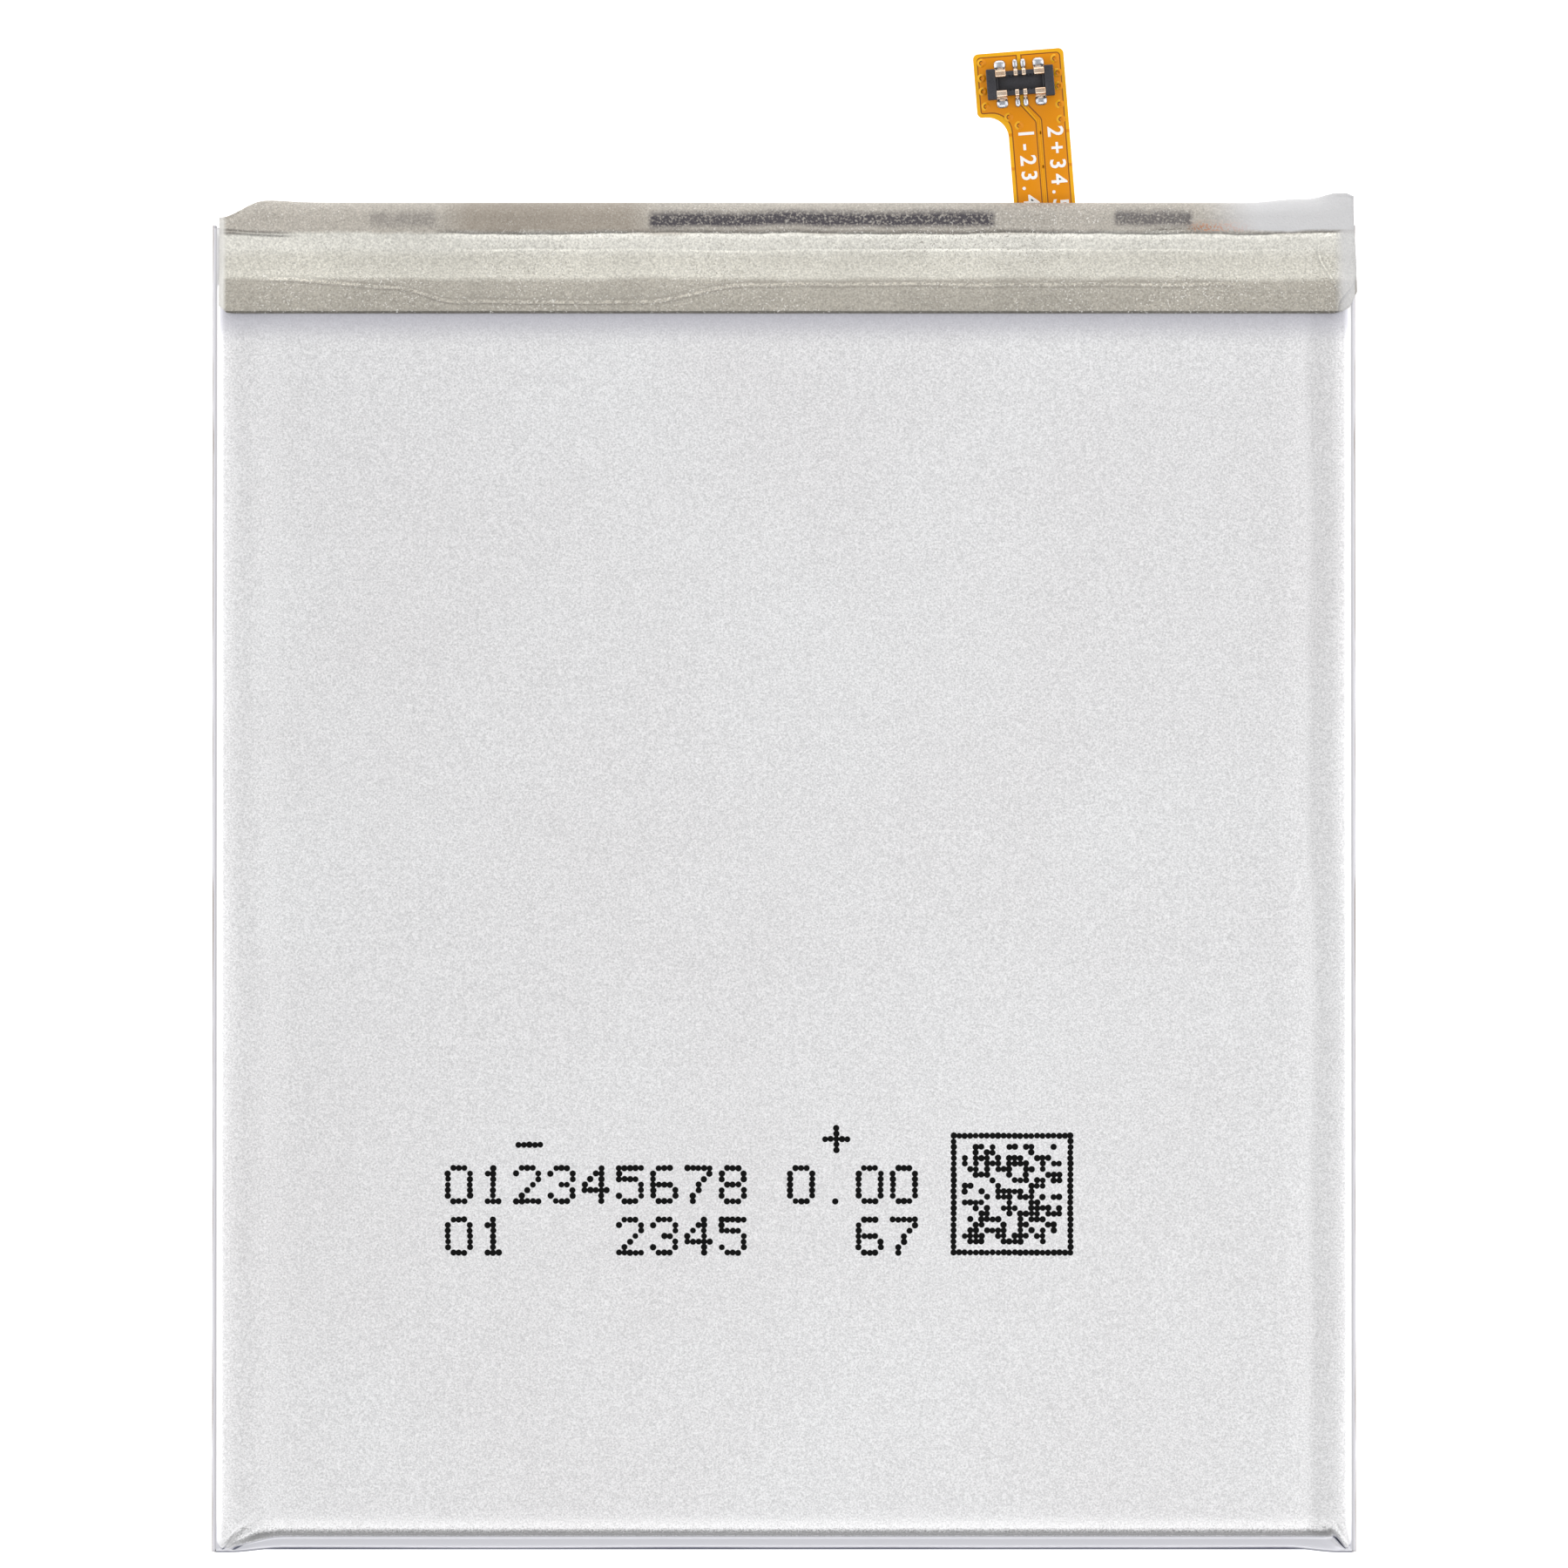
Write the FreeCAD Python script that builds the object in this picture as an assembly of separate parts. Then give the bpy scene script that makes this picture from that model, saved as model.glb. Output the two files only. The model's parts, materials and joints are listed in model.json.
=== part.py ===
"""Smartphone pouch battery: a flat wound lithium-ion cell in laminate film, with its protection
board under the top terrace and a flexible printed tail that ends in a board-to-board plug.

Millimetres. X runs across the cell, Y along it towards the tail, Z up from the label to the
printed face. The origin is the centre of the cell's rear face, on the surface it rests on.
"""
import math
import os

import FreeCAD
import Part

V = FreeCAD.Vector

# ---------------------------------------------------------------- driving dimensions
# Cell envelope
cell_width = 56.0            # over the folded side seals
pack_length = 66.0           # bottom fold to the outside of the wrapping tape
cell_thickness = 5.4         # bare cell, front film to rear film
pan_depth = 0.55             # how far the front face stands above the seal plane

# Pouch film and seal
film_t = 0.12                # laminate film
seal_t = 0.06                # fused layer between the two films
fold_r = 0.05                # inside radius of the folded side seal
wall_gap = 0.05              # between the cup wall and the folded seal
side_seal_height = 3.2       # how far the folded seal comes down the cup wall
terrace_skirt = 0.4          # the same, beside the terrace, where it is trimmed short
bottom_lip = 0.75            # folded lip beyond the cup's bottom wall
terrace_depth = 2.55         # top seal, cup wall to cut edge
corner_r = 1.6               # upright corners of the cup
cup_edge_r = 1.0             # rear edges of the cup
pan_edge_r = 0.5             # front edges of the cover

# Tape and label
tape_t = 0.08
tape_left = 27.6             # reach of the wrapping tape to either side of the centre
tape_right = 28.1
tape_overlap = 1.62          # on the flat faces, from the cell's top wall
tape_bends = (0.5, 0.3, 0.6, 0.3, 0.3)  # centreline radii, from the front face round to the rear face
tape_leaves_face = 0.3       # before the top wall, where the tape starts down to the terrace
tape_meets_terrace = 0.45    # beyond the top wall
tape_gap = 0.05              # over the terrace's film
label_t = 0.08
label_margin = 1.0
label_tape_gap = 0.4
board_cover_depth = 3.66     # cell's top wall to the tape's outside
clear = 0.02                 # general fitting clearance between pieces that lie together

# Wound electrodes
turns = 5
separator_t = 0.04
winding_gap = 0.005
cathode_share = 0.47         # of what the separators leave in one turn
roll_clear = 0.1             # roll to the film, front and rear
roll_side_clear = 0.25
roll_bottom_clear = 0.5
head_room = 1.1              # roll to the top wall, for the tabs' bends
anode_inset = 0.5            # anode shorter than the separators, each end
cathode_inset = 1.0
closing_tape_t = 0.06
closing_tape_width = 12.0
closing_tape_inset = 4.0
winding_end_share = 0.6      # where the winding ends, as a share of its half flat length

# Tabs
tab_t = 0.08
tab_width = 5.0
tab_bend_r = 0.4
tab_positive_x = 2.6
tab_negative_x = -12.5
tab_reach_in_roll = 20.0
tab_overhang = 0.65          # terrace edge to the outside bend of the tab
sealant_t = 0.16
sealant_width = 6.6
sealant_overhang = 0.2

# Protection board
board_length = 47.0
board_width = 2.45
board_t = 0.6
board_wall_gap = 0.45        # cell's top wall to the board
board_corner_r = 0.3
weld_plate_t = 0.15
weld_plate_length = 5.6
weld_plate_width = 1.9
mosfet_height = 0.75
mosfet_width = 1.9
mosfet_right = (16.2, 20.0)
mosfet_left = (-20.3, -17.1)
ic_size = (2.0, 1.6, 0.55)   # length, width and height, as for the next two
sense_size = (2.0, 1.25, 0.5)
chip_size = (1.0, 0.5, 0.5)
chip_pitch = 1.5
ic_inset = 1.5               # in from the strip's right end
sense_offset = 1.6           # beyond the strip's left end
thermistor_offset = 1.6      # from the left transistor
resistor_offset = 3.6        # from the left transistor to the row of resistors
resistor_count = 3
capacitor_inset = 1.2        # in from the strip's left end
capacitor_count = 5
insulator_t = 0.1
insulator_length = 48.0
strip_t = 0.08               # black insulation over the positive tab's bend
strip_span = (-6.6, 10.3)

# Flexible tail, in its own frame: u across, v outwards from the tape, w up
tail_x = 12.8                # where the tail's centre leaves the tape
tail_lean = 4.5              # degrees, the tail's lean towards -X
tail_width = 3.0
flex_base_t = 0.06
copper_t = 0.04
coverlay_t = 0.06
tail_slot_clear = 0.06
root_inset = 2.7             # length of the root inside the tape
root_pad_length = 0.5
root_hinge_v = 0.25
neck_hinge_v = 3.35
hinge_gap = 0.02
head_v = (4.57, 7.70)
head_u = (-2.95, 1.50)
head_fillet_r = 1.05
head_corner_r = 0.25
power_trace_width = 1.1
trace_gap = 0.14
signal_trace_width = 0.08
film_border = 0.18           # copper's distance from the film's edge
stiffener_t = 0.2
stiffener_inset = 0.12

# Board-to-board plug
plug_length = 3.3
plug_width = 1.5
plug_height = 0.62
plug_floor_t = 0.2
plug_end = 0.45              # length of each end block
rail_outer = 0.60            # half width over the two long rails
rail_t = 0.22
contact_t = 0.08
contact_bend_r = 0.06        # centreline
contact_foot = 0.42          # foot beyond the rail
power_contact_width = 0.5
power_contact_u = 0.95
signal_contact_width = 0.18
signal_contact_u = 0.2
pad_margin = 0.05
solder_height = 0.1

# ---------------------------------------------------------------- derived levels and places
z_rear = label_t
z_front = z_rear + cell_thickness
z_flange = z_front - pan_depth               # top of the cover's flange
z_seal_top = z_flange - film_t
z_seal_bottom = z_seal_top - seal_t
z_cup_top = z_seal_bottom
z_cup_under = z_cup_top - film_t             # underside of the terrace
z_seal_mid = (z_seal_top + z_seal_bottom) / 2
flange_stack = 2 * film_t + seal_t

half_x = cell_width / 2
body_half = half_x - flange_stack - wall_gap  # outside of the cup's side walls
y_low = -pack_length / 2
y_tape = pack_length / 2                      # outside of the tape
y_wall = y_tape - board_cover_depth           # outside of the cup's top wall
y_cut = y_wall + terrace_depth                # cut edge of the terrace
y_foot = y_low + bottom_lip                   # outside of the cup's bottom wall
y_fold = y_low + flange_stack / 2             # centre of the bottom fold
cavity_low = z_rear + film_t
cavity_high = z_front - film_t

z_board_parts_top = z_cup_under - insulator_t - clear
z_board_top = z_board_parts_top - mosfet_height - clear
z_board = z_board_top - board_t
z_plate = z_board - weld_plate_t
z_tab_low = z_plate - tab_t / 2
y_board = y_wall + board_wall_gap
y_board_out = y_board + board_width

flex_t = flex_base_t + copper_t + coverlay_t
z_flex_mid = z_board_top + flex_t / 2


# ---------------------------------------------------------------- drawing helpers
def block(x, y, z):
    """A box from three (low, high) pairs."""
    return Part.makeBox(x[1] - x[0], y[1] - y[0], z[1] - z[0], V(x[0], y[0], z[0]))


def middle_block(centre_x, size_x, y, z):
    return block((centre_x - size_x / 2, centre_x + size_x / 2), y, z)


def upright_edges(shape):
    return [e for e in shape.Edges if e.BoundBox.ZLength > e.BoundBox.DiagonalLength * 0.999]


def edges_at_height(shape, z):
    return [e for e in shape.Edges if abs(e.BoundBox.ZMin - z) < 1e-4 and abs(e.BoundBox.ZMax - z) < 1e-4]


def drawn_block(half, y, z, upright_r, edge_r, edge_z):
    """A block with rounded upright corners, and the edges of its face at edge_z rounded too."""
    shape = block((-half, half), y, z)
    shape = shape.makeFillet(upright_r, upright_edges(shape))
    return shape.makeFillet(edge_r, edges_at_height(shape, edge_z))


def fuse(shapes):
    joined = shapes[0]
    for shape in shapes[1:]:
        joined = joined.fuse(shape)
    return joined.removeSplitter()


def cut(shape, tools):
    for tool in tools:
        shape = shape.cut(tool)
    return shape


def strip_side(path, bends, offset):
    """One side of a bent strip: its centreline shifted by offset to the left, as segments.
    A segment is (start, end), or (start, middle, end) for an arc."""
    runs = [((b[0] - a[0]), (b[1] - a[1])) for a, b in zip(path, path[1:])]
    units = [(u / math.hypot(u, v), v / math.hypot(u, v)) for u, v in runs]
    normals = [(-v, u) for u, v in units]
    segments = []
    here = (path[0][0] + normals[0][0] * offset, path[0][1] + normals[0][1] * offset)
    for i, corner in enumerate(path[1:-1]):
        (u1, v1), (u2, v2) = units[i], units[i + 1]
        turn = math.atan2(u1 * v2 - v1 * u2, u1 * u2 + v1 * v2)
        left = 1 if turn > 0 else -1
        reach = bends[i] * math.tan(abs(turn) / 2)
        start = (corner[0] - u1 * reach, corner[1] - v1 * reach)
        end = (corner[0] + u2 * reach, corner[1] + v2 * reach)
        centre = (start[0] + normals[i][0] * bends[i] * left, start[1] + normals[i][1] * bends[i] * left)
        radius = bends[i] - offset * left
        out = (corner[0] - centre[0], corner[1] - centre[1])
        scale = radius / math.hypot(*out)
        arc = ((start[0] + normals[i][0] * offset, start[1] + normals[i][1] * offset),
               (centre[0] + out[0] * scale, centre[1] + out[1] * scale),
               (end[0] + normals[i + 1][0] * offset, end[1] + normals[i + 1][1] * offset))
        if math.dist(here, arc[0]) > 1e-6:
            segments.append((here, arc[0]))
        segments.append(arc)
        here = arc[2]
    last = (path[-1][0] + normals[-1][0] * offset, path[-1][1] + normals[-1][1] * offset)
    segments.append((here, last))
    return segments


def segment_edges(segments, place):
    edges = []
    for points in segments:
        points = [place(*p) for p in points]
        if len(points) == 3:
            edges.append(Part.Arc(*points).toShape())
        else:
            edges.append(Part.makeLine(*points))
    return edges


def bent_strip(path, bends, thickness, place, sweep):
    """A strip of even thickness along path, bent round its corners, extruded by sweep.
    place turns (u, v) of the drawing into a point."""
    if not isinstance(bends, (list, tuple)):
        bends = [bends] * (len(path) - 2)
    left = strip_side(path, bends, thickness / 2)
    right = strip_side(path, bends, -thickness / 2)
    ends = [(left[0][0], right[0][0]), (left[-1][-1], right[-1][-1])]
    edges = segment_edges(left + right + ends, place)
    wire = Part.Wire(Part.__sortEdges__(edges))
    return Part.Face(wire).extrude(sweep)


def lengthwise(x):
    """Drawings in the YZ plane at x."""
    return lambda y, z: V(x, y, z)


def crosswise(y):
    """Drawings in the XZ plane at y."""
    return lambda x, z: V(x, y, z)


def mirrored(shape):
    return shape.mirror(V(0, 0, 0), V(1, 0, 0))


# ---------------------------------------------------------------- pouch
def cavity():
    """The space inside the two films."""
    low = drawn_block(body_half - film_t, (y_foot + film_t, y_wall - film_t), (cavity_low, z_cup_top),
                      corner_r - film_t, cup_edge_r - film_t, cavity_low)
    high = drawn_block(body_half - film_t, (y_foot + film_t, y_wall - film_t), (z_cup_top, cavity_high),
                       corner_r - film_t, pan_edge_r - film_t, cavity_high)
    return low.fuse(high)


def side_layer(inner_r, thickness):
    """One layer of the right folded side seal, full height beside the cup and short beside the terrace."""
    middle_r = inner_r + thickness / 2
    x = body_half + middle_r
    z = z_flange - flange_stack + inner_r - fold_r + thickness / 2
    bottom = z_flange - side_seal_height
    skirt = z_flange - flange_stack - fold_r - terrace_skirt
    tall = bent_strip([(body_half, z), (x, z), (x, bottom)], middle_r, thickness,
                      crosswise(y_low), V(0, y_wall - film_t - y_low, 0))
    short = bent_strip([(body_half, z), (x, z), (x, skirt)], middle_r, thickness,
                       crosswise(y_wall - film_t), V(0, y_cut - y_wall + film_t, 0))
    return tall.fuse(short)


def flange_plate(z):
    """The flat flange round the cavity, from the bottom fold to the terrace's cut edge."""
    return block((-body_half, body_half), (y_fold, y_cut), z).cut(cavity())


def tab_pockets():
    """What the tabs and their sealant press into the films and the seal."""
    return [middle_block(x, sealant_width, (y_wall - film_t, y_cut + clear),
                         (z_seal_mid - sealant_t / 2, z_seal_mid + sealant_t / 2))
            for x in (tab_positive_x, tab_negative_x)]


def pouch_cup():
    """Deep-drawn rear half of the laminate pouch, with its share of the flanges."""
    outer = drawn_block(body_half, (y_foot, y_wall), (z_rear, z_cup_top), corner_r, cup_edge_r, z_rear)
    shell = outer.cut(cavity())
    side = side_layer(fold_r, film_t)
    shape = fuse([shell, flange_plate((z_cup_under, z_cup_top)), side, mirrored(side)])
    return cut(shape, tab_pockets())


def pouch_cover():
    """Shallow front half, with the bottom fold where the one sheet of film turns round."""
    outer = drawn_block(body_half, (y_foot, y_wall), (z_seal_top, z_front), corner_r, pan_edge_r, z_front)
    shell = outer.cut(cavity())
    side = side_layer(fold_r + film_t + seal_t, film_t)
    roll = Part.makeCylinder(flange_stack / 2, 2 * body_half, V(-body_half, y_fold, z_seal_mid), V(1, 0, 0))
    hollow = Part.makeCylinder(seal_t / 2, 2 * body_half, V(-body_half, y_fold, z_seal_mid), V(1, 0, 0))
    beyond = block((-half_x, half_x), (y_low - 1, y_fold), (z_cup_under - 1, z_flange + 1))
    fold = roll.cut(hollow).common(beyond)
    shape = fuse([shell, flange_plate((z_seal_top, z_flange)), side, mirrored(side), fold])
    return cut(shape, tab_pockets())


def heat_seal():
    """Fused layer that joins cup and cover along the top and both sides."""
    top = block((-body_half, body_half), (y_wall - film_t, y_cut), (z_seal_bottom, z_seal_top)).cut(cavity())
    side = side_layer(fold_r + film_t, seal_t)
    return cut(fuse([top, side, mirrored(side)]), tab_pockets())


# ---------------------------------------------------------------- wound electrodes
core_half = tab_t / 2 + clear
roll_height = cavity_high - cavity_low - 2 * roll_clear - closing_tape_t
pitch = (roll_height - 2 * core_half) / (2 * turns + 1.5)
coat_t = pitch - 2 * separator_t - 4 * winding_gap
cathode_t = coat_t * cathode_share
anode_t = coat_t - cathode_t
roll_half_x = body_half - film_t - roll_side_clear
straight = roll_half_x - core_half - (turns + 0.5) * pitch  # half the flat length of the winding
z_core = cavity_low + roll_clear + core_half + (turns + 0.5) * pitch
roll_low_y = y_foot + film_t + roll_bottom_clear
roll_high_y = y_wall - film_t - head_room
roll_top = z_core + core_half + (turns + 1) * pitch
winding_end_x = straight * winding_end_share


def winding_side(offset):
    """One side of a wound sheet, offset from the roll's middle plane on its first turn."""
    points = []
    for turn in range(turns):
        top = offset + turn * pitch
        bottom = top + pitch / 2
        next_top = top + pitch
        right_r, left_r = top + pitch / 4, top + 0.75 * pitch
        points.append(((-straight, top), (straight, top)))
        points.append(((straight, top), (straight + right_r, -pitch / 4), (straight, -bottom)))
        points.append(((straight, -bottom), (-straight, -bottom)))
        points.append(((-straight, -bottom), (-straight - left_r, pitch / 4), (-straight, next_top)))
    points.append(((-straight, next_top), (winding_end_x, next_top)))
    return points


def wound_sheet(inner, thickness, inset):
    """A flat-wound sheet whose first turn starts inner from the middle plane."""
    near, far = winding_side(inner), winding_side(inner + thickness)
    ends = [(near[0][0], far[0][0]), (near[-1][-1], far[-1][-1])]
    y = roll_low_y + inset

    def place(x, z):
        return V(x + pitch / 4, y, z + z_core)

    edges = segment_edges(near + far + ends, place)
    face = Part.Face(Part.Wire(Part.__sortEdges__(edges)))
    return face.extrude(V(0, roll_high_y - inset - y, 0))


def separator_inner():
    return wound_sheet(core_half, separator_t, 0)


def cathode_sheet():
    return wound_sheet(core_half + separator_t + winding_gap, cathode_t, cathode_inset)


def separator_outer():
    return wound_sheet(core_half + separator_t + cathode_t + 2 * winding_gap, separator_t, 0)


def anode_sheet():
    return wound_sheet(core_half + 2 * separator_t + cathode_t + 3 * winding_gap, anode_t, anode_inset)


def roll_closing_tape():
    """Tape that holds the outer end of the winding down."""
    centre = winding_end_x - closing_tape_width / 2
    return middle_block(centre, closing_tape_width,
                        (roll_low_y + closing_tape_inset, roll_high_y - closing_tape_inset),
                        (roll_top, roll_top + closing_tape_t))


# ---------------------------------------------------------------- tabs
tab_out_y = y_cut + tab_overhang - tab_t / 2
y_head = roll_high_y + head_room / 2
tab_end_y = y_board + (board_width - weld_plate_width) / 2


def tab(centre_x):
    """A tab from the roll's core, up the head room, out through the seal and back to the board."""
    path = [(roll_high_y - tab_reach_in_roll, z_core), (y_head, z_core), (y_head, z_seal_mid),
            (tab_out_y, z_seal_mid), (tab_out_y, z_tab_low), (tab_end_y, z_tab_low)]
    return bent_strip(path, tab_bend_r, tab_t, lengthwise(centre_x - tab_width / 2), V(tab_width, 0, 0))


def tab_sealant():
    """Polypropylene sleeve round each tab where it crosses the seal."""
    sleeves = []
    for x in (tab_positive_x, tab_negative_x):
        sleeve = middle_block(x, sealant_width, (y_wall - film_t, y_cut + sealant_overhang),
                              (z_seal_mid - sealant_t / 2, z_seal_mid + sealant_t / 2))
        sleeves.append(sleeve.cut(tab(x)))
    return Part.makeCompound(sleeves)


def tab_insulation_strip():
    """Black film over the bend of the positive tab."""
    over = z_seal_mid + sealant_t / 2 + 0.5 * clear + strip_t / 2
    out = tab_out_y + tab_t / 2 + 3 * clear + strip_t / 2
    path = [(y_cut + clear, over), (out, over), (out, z_tab_low)]
    return bent_strip(path, tab_bend_r, strip_t, lengthwise(strip_span[0]),
                      V(strip_span[1] - strip_span[0], 0, 0))


# ---------------------------------------------------------------- protection board
def protection_board():
    shape = middle_block(0, board_length, (y_board, y_board_out), (z_board, z_board_top))
    return shape.makeFillet(board_corner_r, upright_edges(shape))


def weld_plates():
    """Nickel plates under the board that the tabs are welded to."""
    low = y_board + (board_width - weld_plate_width) / 2
    return Part.makeCompound([middle_block(x, weld_plate_length, (low, low + weld_plate_width),
                                           (z_plate, z_board))
                              for x in (tab_positive_x, tab_negative_x)])


def board_part(centre_x, size):
    """A part standing on the board, against the board's outer edge."""
    length, width, height = size
    return middle_block(centre_x, length, (y_board_out - clear - width, y_board_out - clear),
                        (z_board_top, z_board_top + height))


def mosfets():
    return Part.makeCompound([board_part(sum(span) / 2, (span[1] - span[0], mosfet_width, mosfet_height))
                              for span in (mosfet_left, mosfet_right)])


def protection_ic():
    return board_part(strip_span[1] - ic_inset, ic_size)


def sense_resistor():
    return board_part(strip_span[0] - sense_offset, sense_size)


def thermistor():
    return board_part(mosfet_left[1] + thermistor_offset, chip_size)


def chip_row(first_x, count):
    return Part.makeCompound([board_part(first_x + i * chip_pitch, chip_size) for i in range(count)])


def chip_capacitors():
    return chip_row(strip_span[0] + capacitor_inset, capacitor_count)


def chip_resistors():
    return chip_row(mosfet_left[1] + resistor_offset, resistor_count)


def terrace_insulator():
    """Insulating paper between the terrace film and the board's parts."""
    return middle_block(0, insulator_length, (y_wall + clear, y_cut - clear),
                        (z_cup_under - insulator_t, z_cup_under))


# ---------------------------------------------------------------- flexible tail
def tail_frame(shape):
    """Moves a shape from the tail's own frame to its place on the pack."""
    shape.rotate(V(0, 0, 0), V(0, 0, 1), tail_lean)
    shape.translate(V(tail_x, y_tape, z_flex_mid))
    return shape


def flex_slab(u, v, thickness=flex_t, low=-flex_t / 2):
    return block(u, v, (low, low + thickness))


hinge_r = flex_t / 2
copper_low = -flex_t / 2 + flex_base_t
root_v = (-root_inset, root_hinge_v - hinge_r - hinge_gap)
tail_v = (root_hinge_v, neck_hinge_v - hinge_r - hinge_gap)
power_traces = [(-tail_width / 2 + film_border, -tail_width / 2 + film_border + power_trace_width),
                (tail_width / 2 - film_border - power_trace_width, tail_width / 2 - film_border)]
signal_centre = (power_traces[0][1] + power_traces[1][0]) / 2
signal_traces = [(signal_centre - trace_gap / 2 + s - signal_trace_width / 2,
                  signal_centre - trace_gap / 2 + s + signal_trace_width / 2)
                 for s in (0, trace_gap)]


def traces(v):
    """The four copper traces between two places along the tail."""
    return [block(u, v, (copper_low, copper_low + copper_t)) for u in power_traces + signal_traces]


def rounded_hinge(v):
    """The half-round end of a moving length of film, about its bend axis."""
    return Part.makeCylinder(hinge_r, tail_width, V(-tail_width / 2, v, 0), V(1, 0, 0))


def root_pads():
    """Where the root is soldered down to the board: (u pair, v pair)."""
    v = (root_v[0], root_v[0] + root_pad_length)
    return [(u, v) for u in power_traces]


def flex_root_copper():
    return tail_frame(Part.makeCompound(traces((root_v[0], root_v[1] - clear))))


def flex_root_film():
    slab = flex_slab((-tail_width / 2, tail_width / 2), root_v)
    openings = [block(u, v, (copper_low + copper_t, flex_t)) for u, v in root_pads()]
    return tail_frame(cut(slab, traces((root_v[0], root_v[1] - clear)) + openings))


def flex_root_solder():
    """Solder in the root's two pad openings, humped over the film."""
    humps = []
    for (u0, u1), (v0, v1) in root_pads():
        humps.append(block((u0, u1), (v0, v1), (copper_low + copper_t, hinge_r + solder_height)))
    return tail_frame(Part.makeCompound(humps))


def flex_tail_copper():
    return tail_frame(Part.makeCompound(traces((tail_v[0] + clear, tail_v[1] - clear))))


def flex_tail_film():
    slab = flex_slab((-tail_width / 2, tail_width / 2), tail_v).fuse(rounded_hinge(root_hinge_v))
    return tail_frame(cut(slab.removeSplitter(), traces((tail_v[0] + clear, tail_v[1] - clear))))


def head_outline():
    """The head's plan: the neck, a hollow fillet on its left, and the wider end with round corners."""
    u0, u1 = head_u
    v0, v1 = head_v
    neck = tail_width / 2
    plan = block((-neck, u1), (neck_hinge_v, v1), (-hinge_r, hinge_r))
    end = block((u0, u1), (v0, v1), (-hinge_r, hinge_r))
    web = block((-neck - head_fillet_r, -neck), (v0 - head_fillet_r, v0), (-hinge_r, hinge_r))
    bite = Part.makeCylinder(head_fillet_r, 4 * flex_t, V(-neck - head_fillet_r, v0 - head_fillet_r, -2 * flex_t))
    shape = fuse([plan, end, web.cut(bite)])
    corners = [e for e in upright_edges(shape)
               if e.BoundBox.YMin > v0 - 1e-3 and (abs(e.BoundBox.XMin - u0) < 1e-3
                                                    or abs(e.BoundBox.YMin - v1) < 1e-3)]
    return shape.makeFillet(head_corner_r, corners)


plug_u = sum(head_u) / 2
plug_v = sum(head_v) / 2


def contact_places():
    """Each contact: its u centre, its width and which side of the plug it is on."""
    places = []
    for side in (-1, 1):
        for sign in (-1, 1):
            places.append((plug_u + sign * power_contact_u, power_contact_width, side, "power"))
            places.append((plug_u + sign * signal_contact_u, signal_contact_width, side, "signal"))
    return places


def head_pads():
    """Pad openings in the coverlay, under and beyond each contact's foot."""
    pads = []
    for u, width, side, _ in contact_places():
        near = plug_v + side * (rail_outer + contact_t)
        far = plug_v + side * (rail_outer + contact_t + contact_foot + 2 * pad_margin)
        pads.append(((u - width / 2 - pad_margin, u + width / 2 + pad_margin), (min(near, far), max(near, far))))
    return pads


def head_copper_blocks():
    """Two wide power areas and the two signal traces between them, under the coverlay."""
    z = (copper_low, copper_low + copper_t)
    low_v, high_v = neck_hinge_v + hinge_r + clear, head_v[1] - film_border
    left = [block(power_traces[0], (low_v, high_v), z),
            block((head_u[0] + film_border, power_traces[0][1]), (head_v[0] + film_border, high_v), z)]
    right = block(power_traces[1], (low_v, high_v), z)
    signals = [block(u, (low_v, high_v), z) for u in signal_traces]
    return [fuse(left), right] + signals


def flex_head_copper():
    return tail_frame(Part.makeCompound(head_copper_blocks()))


def flex_head_film():
    slab = head_outline().fuse(rounded_hinge(neck_hinge_v)).removeSplitter()
    openings = [block(u, v, (copper_low + copper_t, flex_t)) for u, v in head_pads()]
    return tail_frame(cut(slab, head_copper_blocks() + openings))


def connector_stiffener():
    """Steel plate glued behind the plug."""
    u = (head_u[0] + stiffener_inset, head_u[1] - stiffener_inset)
    v = (head_v[0] + stiffener_inset, head_v[1] - stiffener_inset)
    shape = block(u, v, (-hinge_r - stiffener_t, -hinge_r))
    return tail_frame(shape.makeFillet(head_corner_r, upright_edges(shape)))


# ---------------------------------------------------------------- plug
plug_z = flex_t / 2          # the plug sits on the film's upper face


def connector_housing():
    """Shallow black tub: end blocks, two long rails and a floor."""
    z = (plug_z, plug_z + plug_height)
    half_l, half_w = plug_length / 2, plug_width / 2
    inner_l = half_l - plug_end
    ends = [block((plug_u + s * half_l - (plug_end if s > 0 else 0), plug_u + s * half_l + (0 if s > 0 else plug_end)),
                  (plug_v - half_w, plug_v + half_w), z) for s in (-1, 1)]
    middle = block((plug_u - inner_l, plug_u + inner_l), (plug_v - rail_outer, plug_v + rail_outer), z)
    cavity_w = rail_outer - rail_t
    hollow = block((plug_u - inner_l, plug_u + inner_l), (plug_v - cavity_w, plug_v + cavity_w),
                   (plug_z + plug_floor_t, plug_z + plug_height))
    return tail_frame(fuse(ends + [middle]).cut(hollow))


def contact(u, width, side):
    """A sheet contact: foot on its pad, up the rail, over it and down inside."""
    t = contact_t / 2
    outer = rail_outer + t + clear / 4
    inner = rail_outer - rail_t - t - clear / 4
    top = plug_z + plug_height + t + clear / 4
    path = [(plug_v + side * (rail_outer + contact_t + contact_foot), plug_z + t), (plug_v + side * outer, plug_z + t),
            (plug_v + side * outer, top), (plug_v + side * inner, top), (plug_v + side * inner, plug_z + plug_floor_t + t)]
    return bent_strip(path, contact_bend_r, contact_t, lengthwise(u - width / 2), V(width, 0, 0))


def contacts(kind):
    return tail_frame(Part.makeCompound([contact(u, width, side) for u, width, side, k in contact_places()
                                         if k == kind]))


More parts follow.
